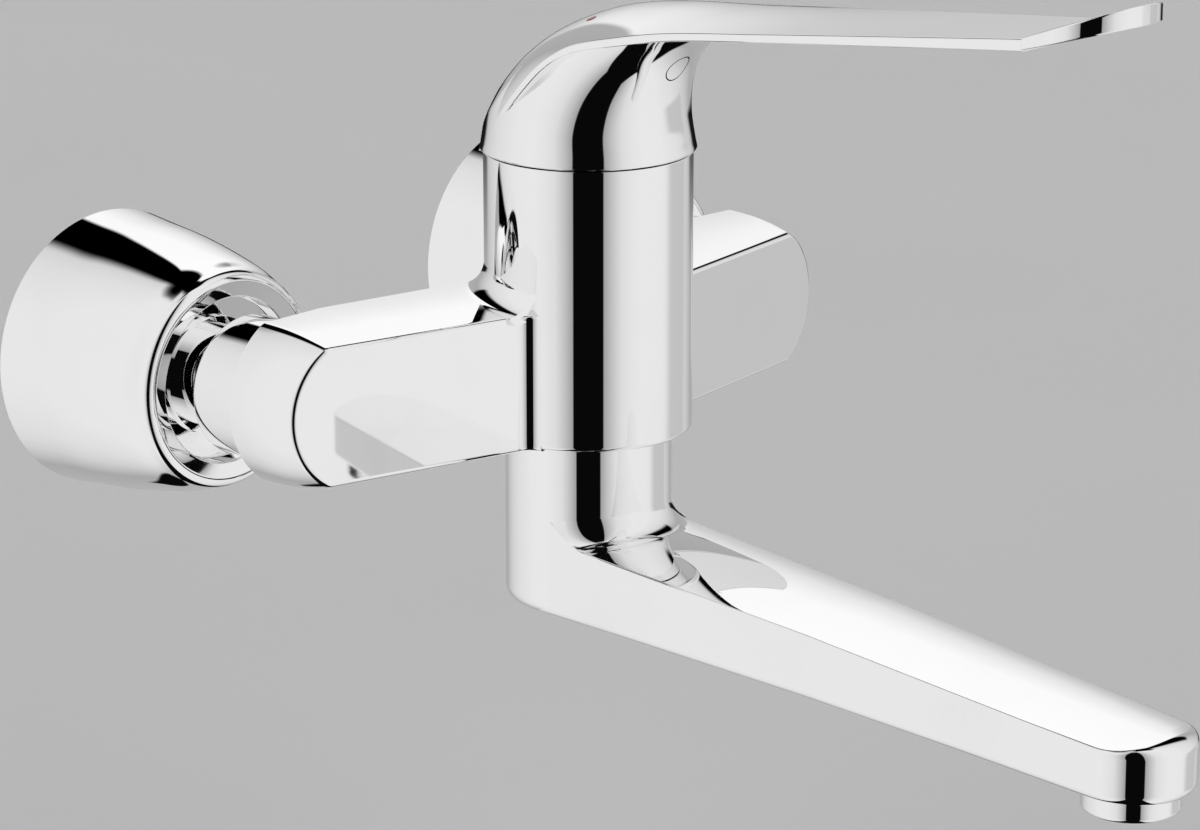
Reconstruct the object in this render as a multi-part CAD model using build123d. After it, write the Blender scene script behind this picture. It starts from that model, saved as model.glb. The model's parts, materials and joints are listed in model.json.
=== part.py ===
from build123d import *
import os
from math import cos, sin, tan, sqrt, radians, pi

# A wall-mounted elbow lever mixer: two bell escutcheons and union nuts carry a cylindrical body
# with two swept arms, a swivel spout hangs below the body and a long lever with a turned-up tip
# sits on top. Millimetres. The origin is on the wall, midway between the two inlets. +X is the
# cold side, +Y goes into the wall and +Z is up.

# Places on the wall
inlet_spacing = 150.0
wall_to_body = 101.0
union_offset = 1.6
spout_reach = 180.0

# Clearances and small allowances
running_fit = 0.06
joint_gap = 0.3
cut_overrun = 1.0

# Body
body_radius = 26.7
body_top = 55.6
body_foot = 17.2
body_foot_round = 1.4
body_blend = 4.0
arm_front_lead = 10.2
arm_front_sweep = 11.3
arm_front_radius = 17.65
arm_back_lead = 18.9
arm_back_sweep = 8.9
arm_back_radius = 20.7
arm_end_back = 29.2

# Waterways in the body, with places measured from the body's axis
inlet_bore = 8.0
inlet_bore_depth = 17.0
cross_bore = 5.5
cross_bore_start_x = 6.5
cross_bore_start_y = 0.5
cross_bore_end_y = 15.0
port_radius = 3.0
port_x = 9.5
port_y = 1.0
outlet_port_radius = 3.5
outlet_port_y = 9.5
outlet_chamber_height = 2.5

# Cartridge, with heights above the inlets
cartridge_floor = 13.0
cartridge_radius = 17.5
seal_thickness = 1.0
seal_inset = 1.0
base_height = 5.0
fixed_disc_height = 4.0
moving_disc_height = 3.5
moving_disc_radius = 11.7
moving_disc_rest_y = 3.1
mixing_pocket_radius = 7.2
mixing_pocket_y = 6.6
mixing_pocket_depth = 2.0
driver_height = 4.4
driver_half_width = 10.8
housing_inner_radius = 15.0
housing_neck_radius = 14.2
housing_ceiling = 38.3
housing_shoulder_top = 43.5
housing_top = 47.5
rotor_neck_radius = 12.0
rotor_stand_proud = 0.3
rotor_rail_half_length = 9.5

# Stem, pivot and clamp nut
pivot_below_top = 11.5
lift_angle = 25.0
stem_width = 8.0
stem_top = 83.0
stem_square_bottom = 36.0
stem_rod_radius = 2.5
stem_ball_radius = 2.7
stem_ball_drop = 14.6
stem_pin_radius = 1.5
nut_radius = 20.4
nut_bore_radius = 14.6
nut_height = 8.2
nut_notch_count = 4
nut_notch_width = 5.0
nut_notch_depth = 3.0

# Spherical cover under the lever
cover_radius = 28.5
cover_wall = 1.5
cover_hole_radius = 17.0
cover_flange_height = 1.6
cover_spigot_radius = 22.35
cover_spigot_wall = 1.35
cover_spigot_depth = 3.3

# Lever
lever_lip_radius = 27.8
lever_lip_gap = 0.4
lever_wall = 2.2
lever_hollow_top = 84.0
lever_hub_radius = 9.0
lever_hub_foot = 73.6
lever_tip_radius = 17.0
lever_tip_reach = 177.5
lever_screw_radius = 2.5
lever_screw_length = 6.5
lever_screw_rise = 25.2
lever_plug_radius = 3.1
lever_plug_length = 2.5
mark_radius = 1.4
mark_x = 4.5
mark_y = 4.5
mark_depth = 1.2

# Spout
spout_tube_radius = 21.45
spout_foot_gap = 0.4
spout_bore_depth = 31.0
spout_bottom = 63.2
spout_arm_crown = 2.6
spout_tip_radius = 15.7
spout_heel_round = 4.0
spout_foot_round = 5.0
channel_start_radius = 6.0
channel_start_drop = 52.0
channel_end_radius = 4.2
channel_end_drop = 62.0
nipple_thread_radius = 10.5
nipple_thread_depth = 7.7
nipple_tail_radius = 13.9
nipple_tail_length = 28.0
nipple_bore = 7.0
o_ring_wire = 1.2
o_ring_groove_depth = 2.4
o_ring_groove_width = 2.8
upper_o_ring_drop = 8.5
lower_o_ring_drop = 22.0
spout_bore_fit = 0.1
slide_ring_width = 3.1
slide_ring_height = 2.3
grub_drop = 15.5
grub_radius = 2.5
grub_point_radius = 1.6
grub_point_length = 2.0
grub_sink = 1.0
grub_groove_depth = 1.6
grub_groove_width = 4.2

# Aerator
aerator_ring_radius = 12.05
aerator_ring_height = 5.8
aerator_ring_round = 1.35
aerator_seat_drop = 69.0
aerator_thread_radius = 10.95
aerator_thread_length = 6.0
aerator_bore = 9.6
aerator_insert_length = 8.0
aerator_insert_sink = 0.5
aerator_hole_radius = 0.7
aerator_washer_height = 1.1
aerator_washer_bore = 6.0

# Unions between the wall and the body, with lengths along the inlets' axes
union_nut_radius = 18.0
union_nut_length = 15.7
union_nut_lip = 3.0
union_nut_lip_bore = 11.8
inlet_tail_radius = 11.5
inlet_tail_depth = 12.0
inlet_flange_radius = 12.9
inlet_flange_thickness = 2.0
inlet_flange_gap = 0.1
washer_thickness = 2.0
washer_radius = 12.8
strainer_radius = 8.6
strainer_thickness = 1.0
strainer_hole_radius = 0.8
strainer_hole_pitch = 2.5
union_thread_radius = 13.2
union_thread_length = 20.6
union_collar_radius = 15.2
union_collar_length = 12.0
union_body_radius = 12.0
union_bore = 8.0
union_hex_flats = 24.0
union_hex_length = 9.0
union_hex_from_wall = 5.0
wall_thread_radius = 10.4775
wall_thread_length = 12.0
wall_thread_chamfer = 1.0

# Escutcheon
bell_radius = 36.0
bell_reach = 49.0
bell_wall = 1.8
bell_mouth_radius = 25.0
bell_floor_thickness = 2.0

# Places that follow from the sizes above
body_y = -wall_to_body
inlet_x = inlet_spacing / 2
arm_end_x = inlet_x + union_offset
pivot_z = body_top - pivot_below_top
screw_height = body_top + lever_screw_rise
arm_face_y = body_y + arm_end_back

os.makedirs("parts", exist_ok=True)


# Shapes used again and again

def save(node, shape):
    export_step(shape, "parts/" + node + ".step")
    print(node, round(shape.volume), shape.is_valid)


def rod(x, y, low, high, radius):
    """An upright cylinder between two heights."""
    return Pos(x, y, (low + high) / 2) * Cylinder(radius, high - low)


def rod_y(x, z, near, far, radius):
    """A cylinder along Y, from the place nearer the user to the place nearer the wall."""
    return Pos(x, (near + far) / 2, z) * Rot(90, 0, 0) * Cylinder(radius, far - near)


def ring(x, y, low, high, outer, inner):
    return rod(x, y, low, high, outer) - rod(x, y, low - cut_overrun, high + cut_overrun, inner)


def ring_y(x, z, near, far, outer, inner):
    return rod_y(x, z, near, far, outer) - rod_y(x, z, near - cut_overrun, far + cut_overrun, inner)


def block(low_x, high_x, low_y, high_y, low_z, high_z):
    centre = Pos((low_x + high_x) / 2, (low_y + high_y) / 2, (low_z + high_z) / 2)
    return centre * Box(high_x - low_x, high_y - low_y, high_z - low_z)


def both_sides(node, shape):
    """Write the right-hand piece and its mirror image on the left."""
    save(node + "_right", shape)
    save(node + "_left", mirror(shape, about=Plane.YZ))


# Body with its two arms

def arm_outline(lead, sweep, radius):
    """A long outline with a round outer end, on an upright plane swept towards the wall."""
    along = (cos(radians(sweep)), sin(radians(sweep)), 0)
    plane = Plane(origin=(0, body_y + lead, 0), x_dir=along, z_dir=(along[1], -along[0], 0))
    run = arm_end_x / cos(radians(sweep))
    edges = [
        Line((0, -radius), (run, -radius)),
        ThreePointArc((run, -radius), (run + radius, 0), (run, radius)),
        Line((run, radius), (0, radius)),
        Line((0, radius), (0, -radius)),
    ]
    return plane * make_face(edges)


def body_arm():
    """The right-hand arm, square behind its end so that the union nut seats there."""
    front = arm_outline(-arm_front_lead, arm_front_sweep, arm_front_radius)
    back = arm_outline(arm_back_lead, arm_back_sweep, arm_back_radius)
    arm = loft([front, back], ruled=True)
    arm -= block(0, 2 * arm_end_x, arm_face_y, 0, -body_top, body_top)
    return arm - rod(0, body_y, -body_top, -body_foot, body_radius)


def meets_barrel(edge):
    """True for the edges at the front and top where an arm meets the barrel."""
    places = [edge @ share for share in (0.1, 0.5, 0.9)]
    on_wall = all(abs(sqrt(p.X**2 + (p.Y - body_y) ** 2) - body_radius) < running_fit for p in places)
    low = -body_foot + body_foot_round
    in_height = all(low < p.Z < arm_back_radius + running_fit for p in places)
    upright = abs((edge @ 0).X - (edge @ 1).X) < running_fit
    in_front = places[1].Y < body_y
    return on_wall and in_height and places[1].X > 0 and (in_front or not upright)


def foot_corner():
    """What the rounding takes off the barrel's lower edge."""
    inner = body_radius - body_foot_round
    height = -body_foot + body_foot_round
    corner = ring(0, body_y, -body_foot - cut_overrun, height, body_radius + cut_overrun, inner)
    return corner - Pos(0, body_y, height) * Torus(inner, body_foot_round)


def body_half():
    """The right-hand half of the casting, blended into the barrel."""
    arm = body_arm()
    joined = rod(0, body_y, -body_foot, body_top, body_radius) + arm
    joined = fillet([edge for edge in joined.edges() if meets_barrel(edge)], body_blend)
    joined -= foot_corner() - arm
    return joined & block(0, 2 * arm_end_x, 2 * body_y, 0, -2 * body_top, 2 * body_top)


def half_waterways():
    """The inlet bore, the cross bore and the port up to the cartridge, on the right-hand side."""
    inlet_end = arm_face_y - inlet_bore_depth
    tail_end = arm_face_y - inlet_tail_depth
    tail = rod_y(arm_end_x, 0, tail_end, arm_face_y + cut_overrun, inlet_tail_radius + running_fit)
    inlet = rod_y(arm_end_x, 0, inlet_end, arm_face_y, inlet_bore)
    start = Vector(cross_bore_start_x, body_y + cross_bore_start_y, 0)
    end = Vector(arm_end_x, body_y + cross_bore_end_y, 0)
    middle = Plane(origin=(start + end) * 0.5, z_dir=end - start)
    cross = middle * Cylinder(cross_bore, (end - start).length)
    port = rod(port_x, body_y + port_y, 0, cartridge_floor + cut_overrun, port_radius)
    return tail + inlet + cross + port


def make_body():
    half = body_half() - half_waterways()
    body = half + mirror(half, about=Plane.YZ)
    above = body_top + cut_overrun
    body -= rod(0, body_y, cartridge_floor, above, cartridge_radius + running_fit)
    body -= rod(0, body_y, nut_floor, above, nut_radius + running_fit)
    body -= rod(0, body_y, cover_socket_floor, above, cover_spigot_radius + running_fit)
    socket_top = -body_foot + nipple_thread_depth
    body -= rod(0, body_y, -body_foot - cut_overrun, socket_top, nipple_thread_radius + running_fit)
    chamber_top = socket_top + outlet_chamber_height
    body -= rod(0, body_y, socket_top, chamber_top, nipple_thread_radius)
    outlet_y = body_y + outlet_port_y
    return body - rod(0, outlet_y, socket_top, cartridge_floor + cut_overrun, outlet_port_radius)


# Cartridge

def three_ports(low, high):
    """The two inlet ports and the outlet port, as cutters."""
    cutters = rod(0, body_y + outlet_port_y, low, high, outlet_port_radius)
    for side in (-1, 1):
        cutters += rod(side * port_x, body_y + port_y, low, high, port_radius)
    return cutters


def ported_disc(low, high, radius):
    return rod(0, body_y, low, high, radius) - three_ports(low - cut_overrun, high + cut_overrun)


def make_moving_disc():
    centre = body_y + moving_disc_rest_y
    disc = rod(0, centre, moving_disc_foot, moving_disc_top, moving_disc_radius)
    pocket_top = moving_disc_foot + mixing_pocket_depth
    pocket_y = body_y + mixing_pocket_y
    pocket = rod(0, pocket_y, moving_disc_foot - cut_overrun, pocket_top, mixing_pocket_radius)
    return disc - pocket


def make_driver():
    """The guided block on the moving disc, with a pocket for the stem's ball."""
    centre = body_y + moving_disc_rest_y
    driver = rod(0, centre, moving_disc_top, driver_top, moving_disc_radius)
    reach = 2 * moving_disc_radius
    width = driver_half_width
    driver &= block(-width, width, centre - reach, centre + reach, 0, body_top)
    pocket = stem_ball_radius + joint_gap
    return driver - rod(0, body_y, moving_disc_top - cut_overrun, driver_top + cut_overrun, pocket)


def make_housing():
    housing = rod(0, body_y, housing_foot, housing_shoulder_top, cartridge_radius)
    housing += rod(0, body_y, housing_foot, housing_top, housing_neck_radius)
    housing -= rod(0, body_y, housing_foot - cut_overrun, housing_ceiling, housing_inner_radius)
    return housing - rod(0, body_y, 0, housing_top + cut_overrun, rotor_neck_radius + running_fit)


def make_rotor():
    """A neck and a flange, two rails that guide the driver and a slot that the stem swings in."""
    flange_radius = housing_inner_radius - joint_gap
    rotor = rod(0, body_y, rotor_foot, rotor_shoulder, flange_radius)
    rotor += rod(0, body_y, rotor_foot, rotor_top, rotor_neck_radius)
    rails = rod(0, body_y, rail_foot, rotor_foot, flange_radius)
    half = rotor_rail_half_length
    rails &= block(-flange_radius, flange_radius, body_y - half, body_y + half, 0, body_top)
    inner = driver_half_width + running_fit
    rails -= block(-inner, inner, 2 * body_y, 0, 0, body_top)
    return rotor + rails - stem_slot() - pin_cutter(stem_pin_radius)


def stem_slot():
    """The room that the stem sweeps inside the rotor while the lever lifts."""
    angle = radians(lift_angle)
    half = stem_width / 2
    side = half + running_fit
    rod_sweep = (pivot_z - rotor_foot) * tan(angle) + stem_rod_radius / cos(angle)
    square_sweep = (pivot_z - stem_square_bottom) * sin(angle) + half * cos(angle)
    below = max(rod_sweep, square_sweep) + joint_gap
    above = (rotor_top - pivot_z) * tan(angle) + half / cos(angle) + joint_gap
    still = half / cos(angle) + joint_gap
    low = block(-side, side, body_y - below, body_y + still, rail_foot - cut_overrun, pivot_z)
    high = block(-side, side, body_y - still, body_y + above, pivot_z, rotor_top + cut_overrun)
    return low + high


def pin_cutter(radius):
    reach = 2 * rotor_neck_radius
    return Pos(0, body_y, pivot_z) * Rot(0, 90, 0) * Cylinder(radius, reach)


def make_stem_pin():
    half = rotor_neck_radius - joint_gap
    return Pos(0, body_y, pivot_z) * Rot(0, 90, 0) * Cylinder(stem_pin_radius, 2 * half)


def make_stem():
    half = stem_width / 2
    stem = block(-half, half, body_y - half, body_y + half, stem_square_bottom, stem_top)
    ball_z = pivot_z - stem_ball_drop
    stem += rod(0, body_y, ball_z, stem_square_bottom, stem_rod_radius)
    stem += Pos(0, body_y, ball_z) * Sphere(stem_ball_radius)
    return stem - pin_cutter(stem_pin_radius + running_fit)


def make_clamp_nut():
    nut = ring(0, body_y, nut_floor, nut_floor + nut_height, nut_radius, nut_bore_radius)
    top = nut_floor + nut_height
    for index in range(nut_notch_count):
        notch = block(
            nut_bore_radius - cut_overrun, nut_radius + cut_overrun,
            -nut_notch_width / 2, nut_notch_width / 2, top - nut_notch_depth, top + cut_overrun,
        )
        nut -= Pos(0, body_y, 0) * Rot(0, 0, index * 360 / nut_notch_count) * notch
    return nut


def make_cover():
    """The spherical cover, centred on the lever's pivot, with a spigot in the body."""
    centre = Pos(0, body_y, pivot_z)
    outer = centre * Sphere(cover_radius)
    inner = centre * Sphere(cover_radius - cover_wall)
    shell = (outer - inner) & block(-body_radius, body_radius, 2 * body_y, 0, body_top, 2 * body_top)
    flange = outer & rod(0, body_y, body_top, body_top + cover_flange_height, cover_radius)
    spigot = rod(0, body_y, body_top - cover_spigot_depth, body_top, cover_spigot_radius)
    cover = shell + flange + spigot
    bore = cover_spigot_radius - cover_spigot_wall
    cover -= rod(0, body_y, 0, body_top + cover_flange_height + cut_overrun, bore)
    return cover - rod(0, body_y, 0, 2 * body_top, cover_hole_radius)


# Heights inside the cartridge, from the floor up
seal_top = cartridge_floor + seal_thickness
housing_foot = seal_top + base_height
moving_disc_foot = housing_foot + fixed_disc_height
moving_disc_top = moving_disc_foot + moving_disc_height
driver_top = moving_disc_top + driver_height
rail_foot = moving_disc_top + joint_gap
rotor_foot = driver_top + joint_gap
rotor_shoulder = housing_ceiling - joint_gap
rotor_top = housing_top + rotor_stand_proud
nut_floor = housing_shoulder_top
cover_socket_floor = body_top - cover_spigot_depth - joint_gap

save("mixer_body", make_body())
save("cartridge_seal", ported_disc(cartridge_floor, seal_top, cartridge_radius - seal_inset))
save("cartridge_base", ported_disc(seal_top, housing_foot, cartridge_radius))
fixed_disc_radius = housing_inner_radius - joint_gap
save("fixed_disc", ported_disc(housing_foot, moving_disc_foot, fixed_disc_radius))
save("moving_disc", make_moving_disc())
save("disc_driver", make_driver())
save("cartridge_housing", make_housing())
save("cartridge_rotor", make_rotor())
save("stem_pin", make_stem_pin())
save("cartridge_stem", make_stem())
save("clamp_nut", make_clamp_nut())
save("pivot_cover", make_cover())


# Lever

# Slices of the lever's back, from the rear lip to the tip, as shares of the lip's radius: the
# crest's place from the body's axis and height above the body, the edge's half width, place and
# height, and the edge's thickness. Places in front of the axis are negative.
hood_shares = (
    (1.000, 0.000, 0.760, 0.650, 0.000, 0.075),
    (0.935, 0.266, 0.863, 0.396, 0.248, 0.075),
    (0.791, 0.511, 0.921, 0.162, 0.493, 0.075),
    (0.612, 0.723, 0.946, -0.036, 0.698, 0.075),
    (0.360, 0.942, 0.942, -0.234, 0.896, 0.075),
    (0.000, 1.155, 0.932, -0.450, 1.058, 0.075),
    (-0.504, 1.320, 0.921, -0.719, 1.194, 0.075),
    (-1.079, 1.406, 0.899, -1.151, 1.309, 0.075),
    (-1.799, 1.468, 0.856, -1.799, 1.442, 0.075),
    (-2.806, 1.572, 0.788, -2.806, 1.568, 0.076),
)
blade_end_shares = (-5.540, 1.900, 0.612, -5.540, 1.899, 0.104)
tip_end_shares = (-6.439, 2.233, 0.612, -6.439, 2.232, 0.173)

# The cup under the lever's back, from its lip up, as shares of the lip's radius: height above
# the body, the centre's place, half width and half length.
cup_shares = (
    (0.000, 0.000, 1.000, 1.000),
    (0.122, 0.000, 0.975, 0.975),
    (0.356, 0.000, 0.942, 0.942),
    (0.626, -0.036, 0.892, 0.950),
    (0.896, -0.144, 0.813, 0.971),
    (1.129, -0.288, 0.773, 1.043),
    (1.320, -0.414, 0.755, 1.170),
)

# Round slices that lean forward with the lever's back and stay inside it, as shares of the lip's
# radius: height above the body, the rearmost place, and the radius.
dome_shares = (
    (0.000, 0.964, 1.080),
    (0.266, 0.899, 1.080),
    (0.511, 0.755, 1.080),
    (0.723, 0.576, 1.070),
    (0.942, 0.324, 1.060),
    (1.155, -0.045, 1.030),
    (1.320, -0.680, 0.900),
    (1.400, -1.300, 0.800),
)


def hood_section(shares):
    """A crowned slice of the lever's back, flat underneath, at one place along it."""
    crest_y, crest_z, half, edge_y, edge_z, edge = (lever_lip_radius * share for share in shares)
    crest = Vector(0, body_y + crest_y, body_top + crest_z)
    right = Vector(half, body_y + edge_y, body_top + edge_z)
    left = Vector(-half, right.Y, right.Z)
    up = (crest - (right + left) * 0.5).normalized()
    right_foot = right - up * edge
    left_foot = left - up * edge
    outline = [
        ThreePointArc(right, crest, left),
        Line(left, left_foot),
        Line(left_foot, right_foot),
        Line(right_foot, right),
    ]
    return make_face(outline)


def cup_solid(inset):
    """The cup's outline, or with an inset the hollow in it."""
    sections = []
    for height, centre, half_width, half_length in cup_shares:
        place = Pos(0, body_y + centre * lever_lip_radius, body_top + height * lever_lip_radius)
        width = half_width * lever_lip_radius - inset
        sections.append(place * Ellipse(width, half_length * lever_lip_radius - inset))
    return loft(sections)


def dome_solid(inset):
    """What keeps the cup, or with an inset the hollow, under the lever's back."""
    sections = []
    for height, rear, radius in dome_shares:
        place = Pos(0, body_y + (rear - radius) * lever_lip_radius, body_top + height * lever_lip_radius)
        sections.append(place * Circle(radius * lever_lip_radius - inset))
    return loft(sections, ruled=True)


def halfway_rows(rows):
    """The rows with one more between each two, on a smooth curve through them."""
    result = []
    for index in range(len(rows) - 1):
        before = rows[max(index - 1, 0)]
        after = rows[min(index + 2, len(rows) - 1)]
        ends = zip(before, rows[index], rows[index + 1], after)
        result.append(rows[index])
        result.append(tuple((9 * (b + c) - a - d) / 16 for a, b, c, d in ends))
    return result + [rows[-1]]


def make_hood():
    hood = loft([hood_section(shares) for shares in halfway_rows(hood_shares)], ruled=True)
    blade_end = hood_section(blade_end_shares)
    hood += loft([hood_section(hood_shares[-1]), blade_end], ruled=True)
    tip = loft([blade_end, hood_section(tip_end_shares)], ruled=True)
    tip_centre = body_y - lever_tip_reach + lever_tip_radius
    plan = rod(0, tip_centre, body_top, 3 * body_top, lever_tip_radius)
    plan += block(-body_radius, body_radius, tip_centre, body_y, body_top, 3 * body_top)
    return hood + (tip & plan)


def pivot_ball(radius):
    return Pos(0, body_y, pivot_z) * Sphere(radius)


def make_lever(outside):
    """The cast lever: hollow over the cover, with a hub and a square hole for the stem."""
    corner = sqrt(body_radius**2 + pivot_below_top**2)
    lever = outside - pivot_ball(max(corner, cover_radius) + joint_gap)
    foot = lever_hub_foot - 2 * lever_wall
    hollow = cup_solid(lever_wall) & dome_solid(lever_wall)
    reach = 2 * lever_lip_radius
    hollow &= block(-reach, reach, body_y - reach, body_y + reach, foot, lever_hollow_top)
    lever -= hollow - rod(0, body_y, lever_hub_foot, lever_hollow_top, lever_hub_radius)
    lever -= block(-reach, reach, 3 * body_y, 0, 0, body_top + lever_lip_gap)
    half = stem_width / 2 + running_fit
    top = stem_top + joint_gap
    lever -= block(-half, half, body_y - half, body_y + half, lever_hub_foot - cut_overrun, top)
    lever -= rod_y(0, screw_height, body_y - reach, body_y, lever_screw_radius)
    plug_back = body_y + plug_face_y() + lever_plug_length
    lever -= rod_y(0, screw_height, body_y - reach, plug_back, lever_plug_radius)
    return lever - mark_block(-1) - mark_block(1)


def plug_face_y():
    """Where the cup's front wall is, at the height of the screw."""
    heights = [body_top + row[0] * lever_lip_radius for row in cup_shares]
    fronts = [(row[1] - row[3]) * lever_lip_radius for row in cup_shares]
    index = max(i for i in range(len(heights) - 1) if heights[i] <= screw_height)
    along = (screw_height - heights[index]) / (heights[index + 1] - heights[index])
    return fronts[index] + along * (fronts[index + 1] - fronts[index])


def mark_block(side):
    """The room of a colour mark, down to its depth below the lever's back."""
    y = -mark_y
    before, after = hood_shares[5], hood_shares[6]
    along = (y / lever_lip_radius - before[0]) / (after[0] - before[0])
    surface = body_top + (before[1] + along * (after[1] - before[1])) * lever_lip_radius
    return rod(side * mark_x, body_y + y, surface - mark_depth, 3 * body_top, mark_radius)


def write_lever():
    outside = make_hood() + (cup_solid(0) & dome_solid(0))
    save("lever", make_lever(outside))
    back = body_y - stem_width / 2
    radius = lever_screw_radius - running_fit
    screw = rod_y(0, screw_height, back - lever_screw_length, back, radius)
    save("lever_set_screw", screw)
    plug_back = body_y + plug_face_y() + lever_plug_length
    radius = lever_plug_radius - running_fit
    plug = rod_y(0, screw_height, 2 * body_y, plug_back, radius)
    save("lever_screw_plug", plug & outside)
    save("hot_mark", mark_block(-1) & outside)
    save("cold_mark", mark_block(1) & outside)


write_lever()


# Spout

# Upright slices of the spout's arm, from the body's axis to past the outlet: place as a share of
# the reach, half width as a share of the tube's radius, and how far the side's top edge and the
# bottom are below the inlets, as shares of the tube's depth.
spout_shares = (
    (0.000, 0.9600, 0.6710, 0.9968),
    (0.180, 0.9172, 0.7052, 1.0058),
    (0.508, 0.8392, 0.7673, 1.0285),
    (0.770, 0.7762, 0.8322, 1.0598),
    (1.000, 0.7317, 0.8861, 1.0914),
    (1.100, 0.7317, 0.9085, 1.1051),
)


def spout_section(shares):
    place, half, top, bottom = shares
    half *= spout_tube_radius
    top *= spout_bottom
    bottom *= spout_bottom
    origin = (0, body_y - place * spout_reach, 0)
    plane = Plane(origin=origin, x_dir=(1, 0, 0), z_dir=(0, -1, 0))
    outline = [
        ThreePointArc((-half, -top), (0, spout_arm_crown - top), (half, -top)),
        Line((half, -top), (half, -bottom)),
        Line((half, -bottom), (-half, -bottom)),
        Line((-half, -bottom), (-half, -top)),
    ]
    return plane * make_face(outline)


def spout_channel():
    start = Vector(0, body_y, -channel_start_drop)
    end = Vector(0, outlet_y, -channel_end_drop)
    along = end - start
    first = Plane(origin=start, z_dir=along) * Circle(channel_start_radius)
    last = Plane(origin=end, z_dir=along) * Circle(channel_end_radius)
    return loft([first, last], ruled=True)


def meets_tube(edge):
    """True for the line in which the arm's top leaves the tube."""
    places = [edge @ share for share in (0.1, 0.5, 0.9)]
    radii = [sqrt(p.X**2 + (p.Y - body_y) ** 2) for p in places]
    on_wall = all(abs(radius - spout_tube_radius) < running_fit for radius in radii)
    in_height = spout_top > places[1].Z + joint_gap and places[1].Z > 2 * spout_heel_round - spout_bottom
    across = abs(places[0].X - places[2].X) > spout_tube_radius
    return on_wall and in_height and across


def make_spout():
    arm = loft([spout_section(shares) for shares in spout_shares], ruled=True)
    plan = rod(0, outlet_y, -2 * spout_bottom, 0, spout_tip_radius)
    wide = 2 * spout_tube_radius
    plan += block(-wide, wide, outlet_y, body_y, -2 * spout_bottom, 0)
    tube = rod(0, body_y, -spout_bottom, spout_top, spout_tube_radius)
    tube = fillet(tube.edges().sort_by(Axis.Z)[0], spout_heel_round)
    spout = tube + (arm & plan)
    spout = fillet([edge for edge in spout.edges() if meets_tube(edge)], spout_foot_round)
    spout += rod(0, outlet_y, aerator_seat, -channel_end_drop, aerator_ring_radius)
    spout -= rod(0, body_y, spout_top - spout_bore_depth, 0, nipple_tail_radius + spout_bore_fit)
    slide_radius = nipple_tail_radius + slide_ring_width + joint_gap
    spout -= rod(0, body_y, -body_foot - slide_ring_height - joint_gap, 0, slide_radius)
    spout -= spout_channel()
    bore_radius = aerator_thread_radius + running_fit
    spout -= rod(0, outlet_y, -2 * spout_bottom, aerator_bore_top, bore_radius)
    spout -= rod(0, outlet_y, -2 * spout_bottom, aerator_seat, aerator_ring_radius + joint_gap)
    hole_end = body_y + spout_tube_radius + cut_overrun
    return spout - rod_y(0, grub_z, body_y + nipple_tail_radius, hole_end, grub_radius)


def groove(height, width, depth):
    """A groove round the spout nipple's tail."""
    outer = nipple_tail_radius + cut_overrun
    return ring(0, body_y, height - width / 2, height + width / 2, outer, nipple_tail_radius - depth)


def make_spout_nipple():
    shoulder = -body_foot - seal_thickness
    nipple = rod(0, body_y, shoulder, -body_foot + nipple_thread_depth, nipple_thread_radius)
    nipple += rod(0, body_y, shoulder - nipple_tail_length, shoulder, nipple_tail_radius)
    nipple -= rod(0, body_y, -2 * spout_bottom, body_top, nipple_bore)
    for drop in (upper_o_ring_drop, lower_o_ring_drop):
        nipple -= groove(-body_foot - drop, o_ring_groove_width, o_ring_groove_depth)
    return nipple - groove(grub_z, grub_groove_width, grub_groove_depth)


def o_ring(drop):
    middle = nipple_tail_radius + spout_bore_fit - running_fit - o_ring_wire
    return Pos(0, body_y, -body_foot - drop) * Torus(middle, o_ring_wire)


def make_grub_screw():
    """The screw behind the spout, whose point runs in a groove of the nipple."""
    point = body_y + nipple_tail_radius - grub_groove_depth + joint_gap
    shoulder = point + grub_point_length
    screw = rod_y(0, grub_z, point, shoulder, grub_point_radius)
    back = body_y + spout_tube_radius - grub_sink
    return screw + rod_y(0, grub_z, shoulder, back, grub_radius - running_fit)


def make_aerator_housing():
    outer = rod(0, outlet_y, aerator_seat - aerator_ring_height, aerator_seat, aerator_ring_radius)
    outer = fillet(outer.edges().sort_by(Axis.Z)[0], aerator_ring_round)
    thread_top = aerator_seat + aerator_thread_length
    outer += rod(0, outlet_y, aerator_seat, thread_top, aerator_thread_radius)
    return outer - rod(0, outlet_y, -2 * spout_bottom, 0, aerator_bore)


def hole_places(count, radius):
    """Places of holes, evenly round a circle."""
    return [(radius * cos(2 * pi * i / count), radius * sin(2 * pi * i / count)) for i in range(count)]


def make_aerator_insert():
    radius = aerator_bore - running_fit
    low = aerator_seat - aerator_ring_height + aerator_insert_sink
    insert = rod(0, outlet_y, low, low + aerator_insert_length, radius)
    holes = hole_places(6, radius / 3) + hole_places(12, 2 * radius / 3)
    for x, y in holes:
        insert -= rod(x, outlet_y + y, -2 * spout_bottom, 0, aerator_hole_radius)
    return insert


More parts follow.
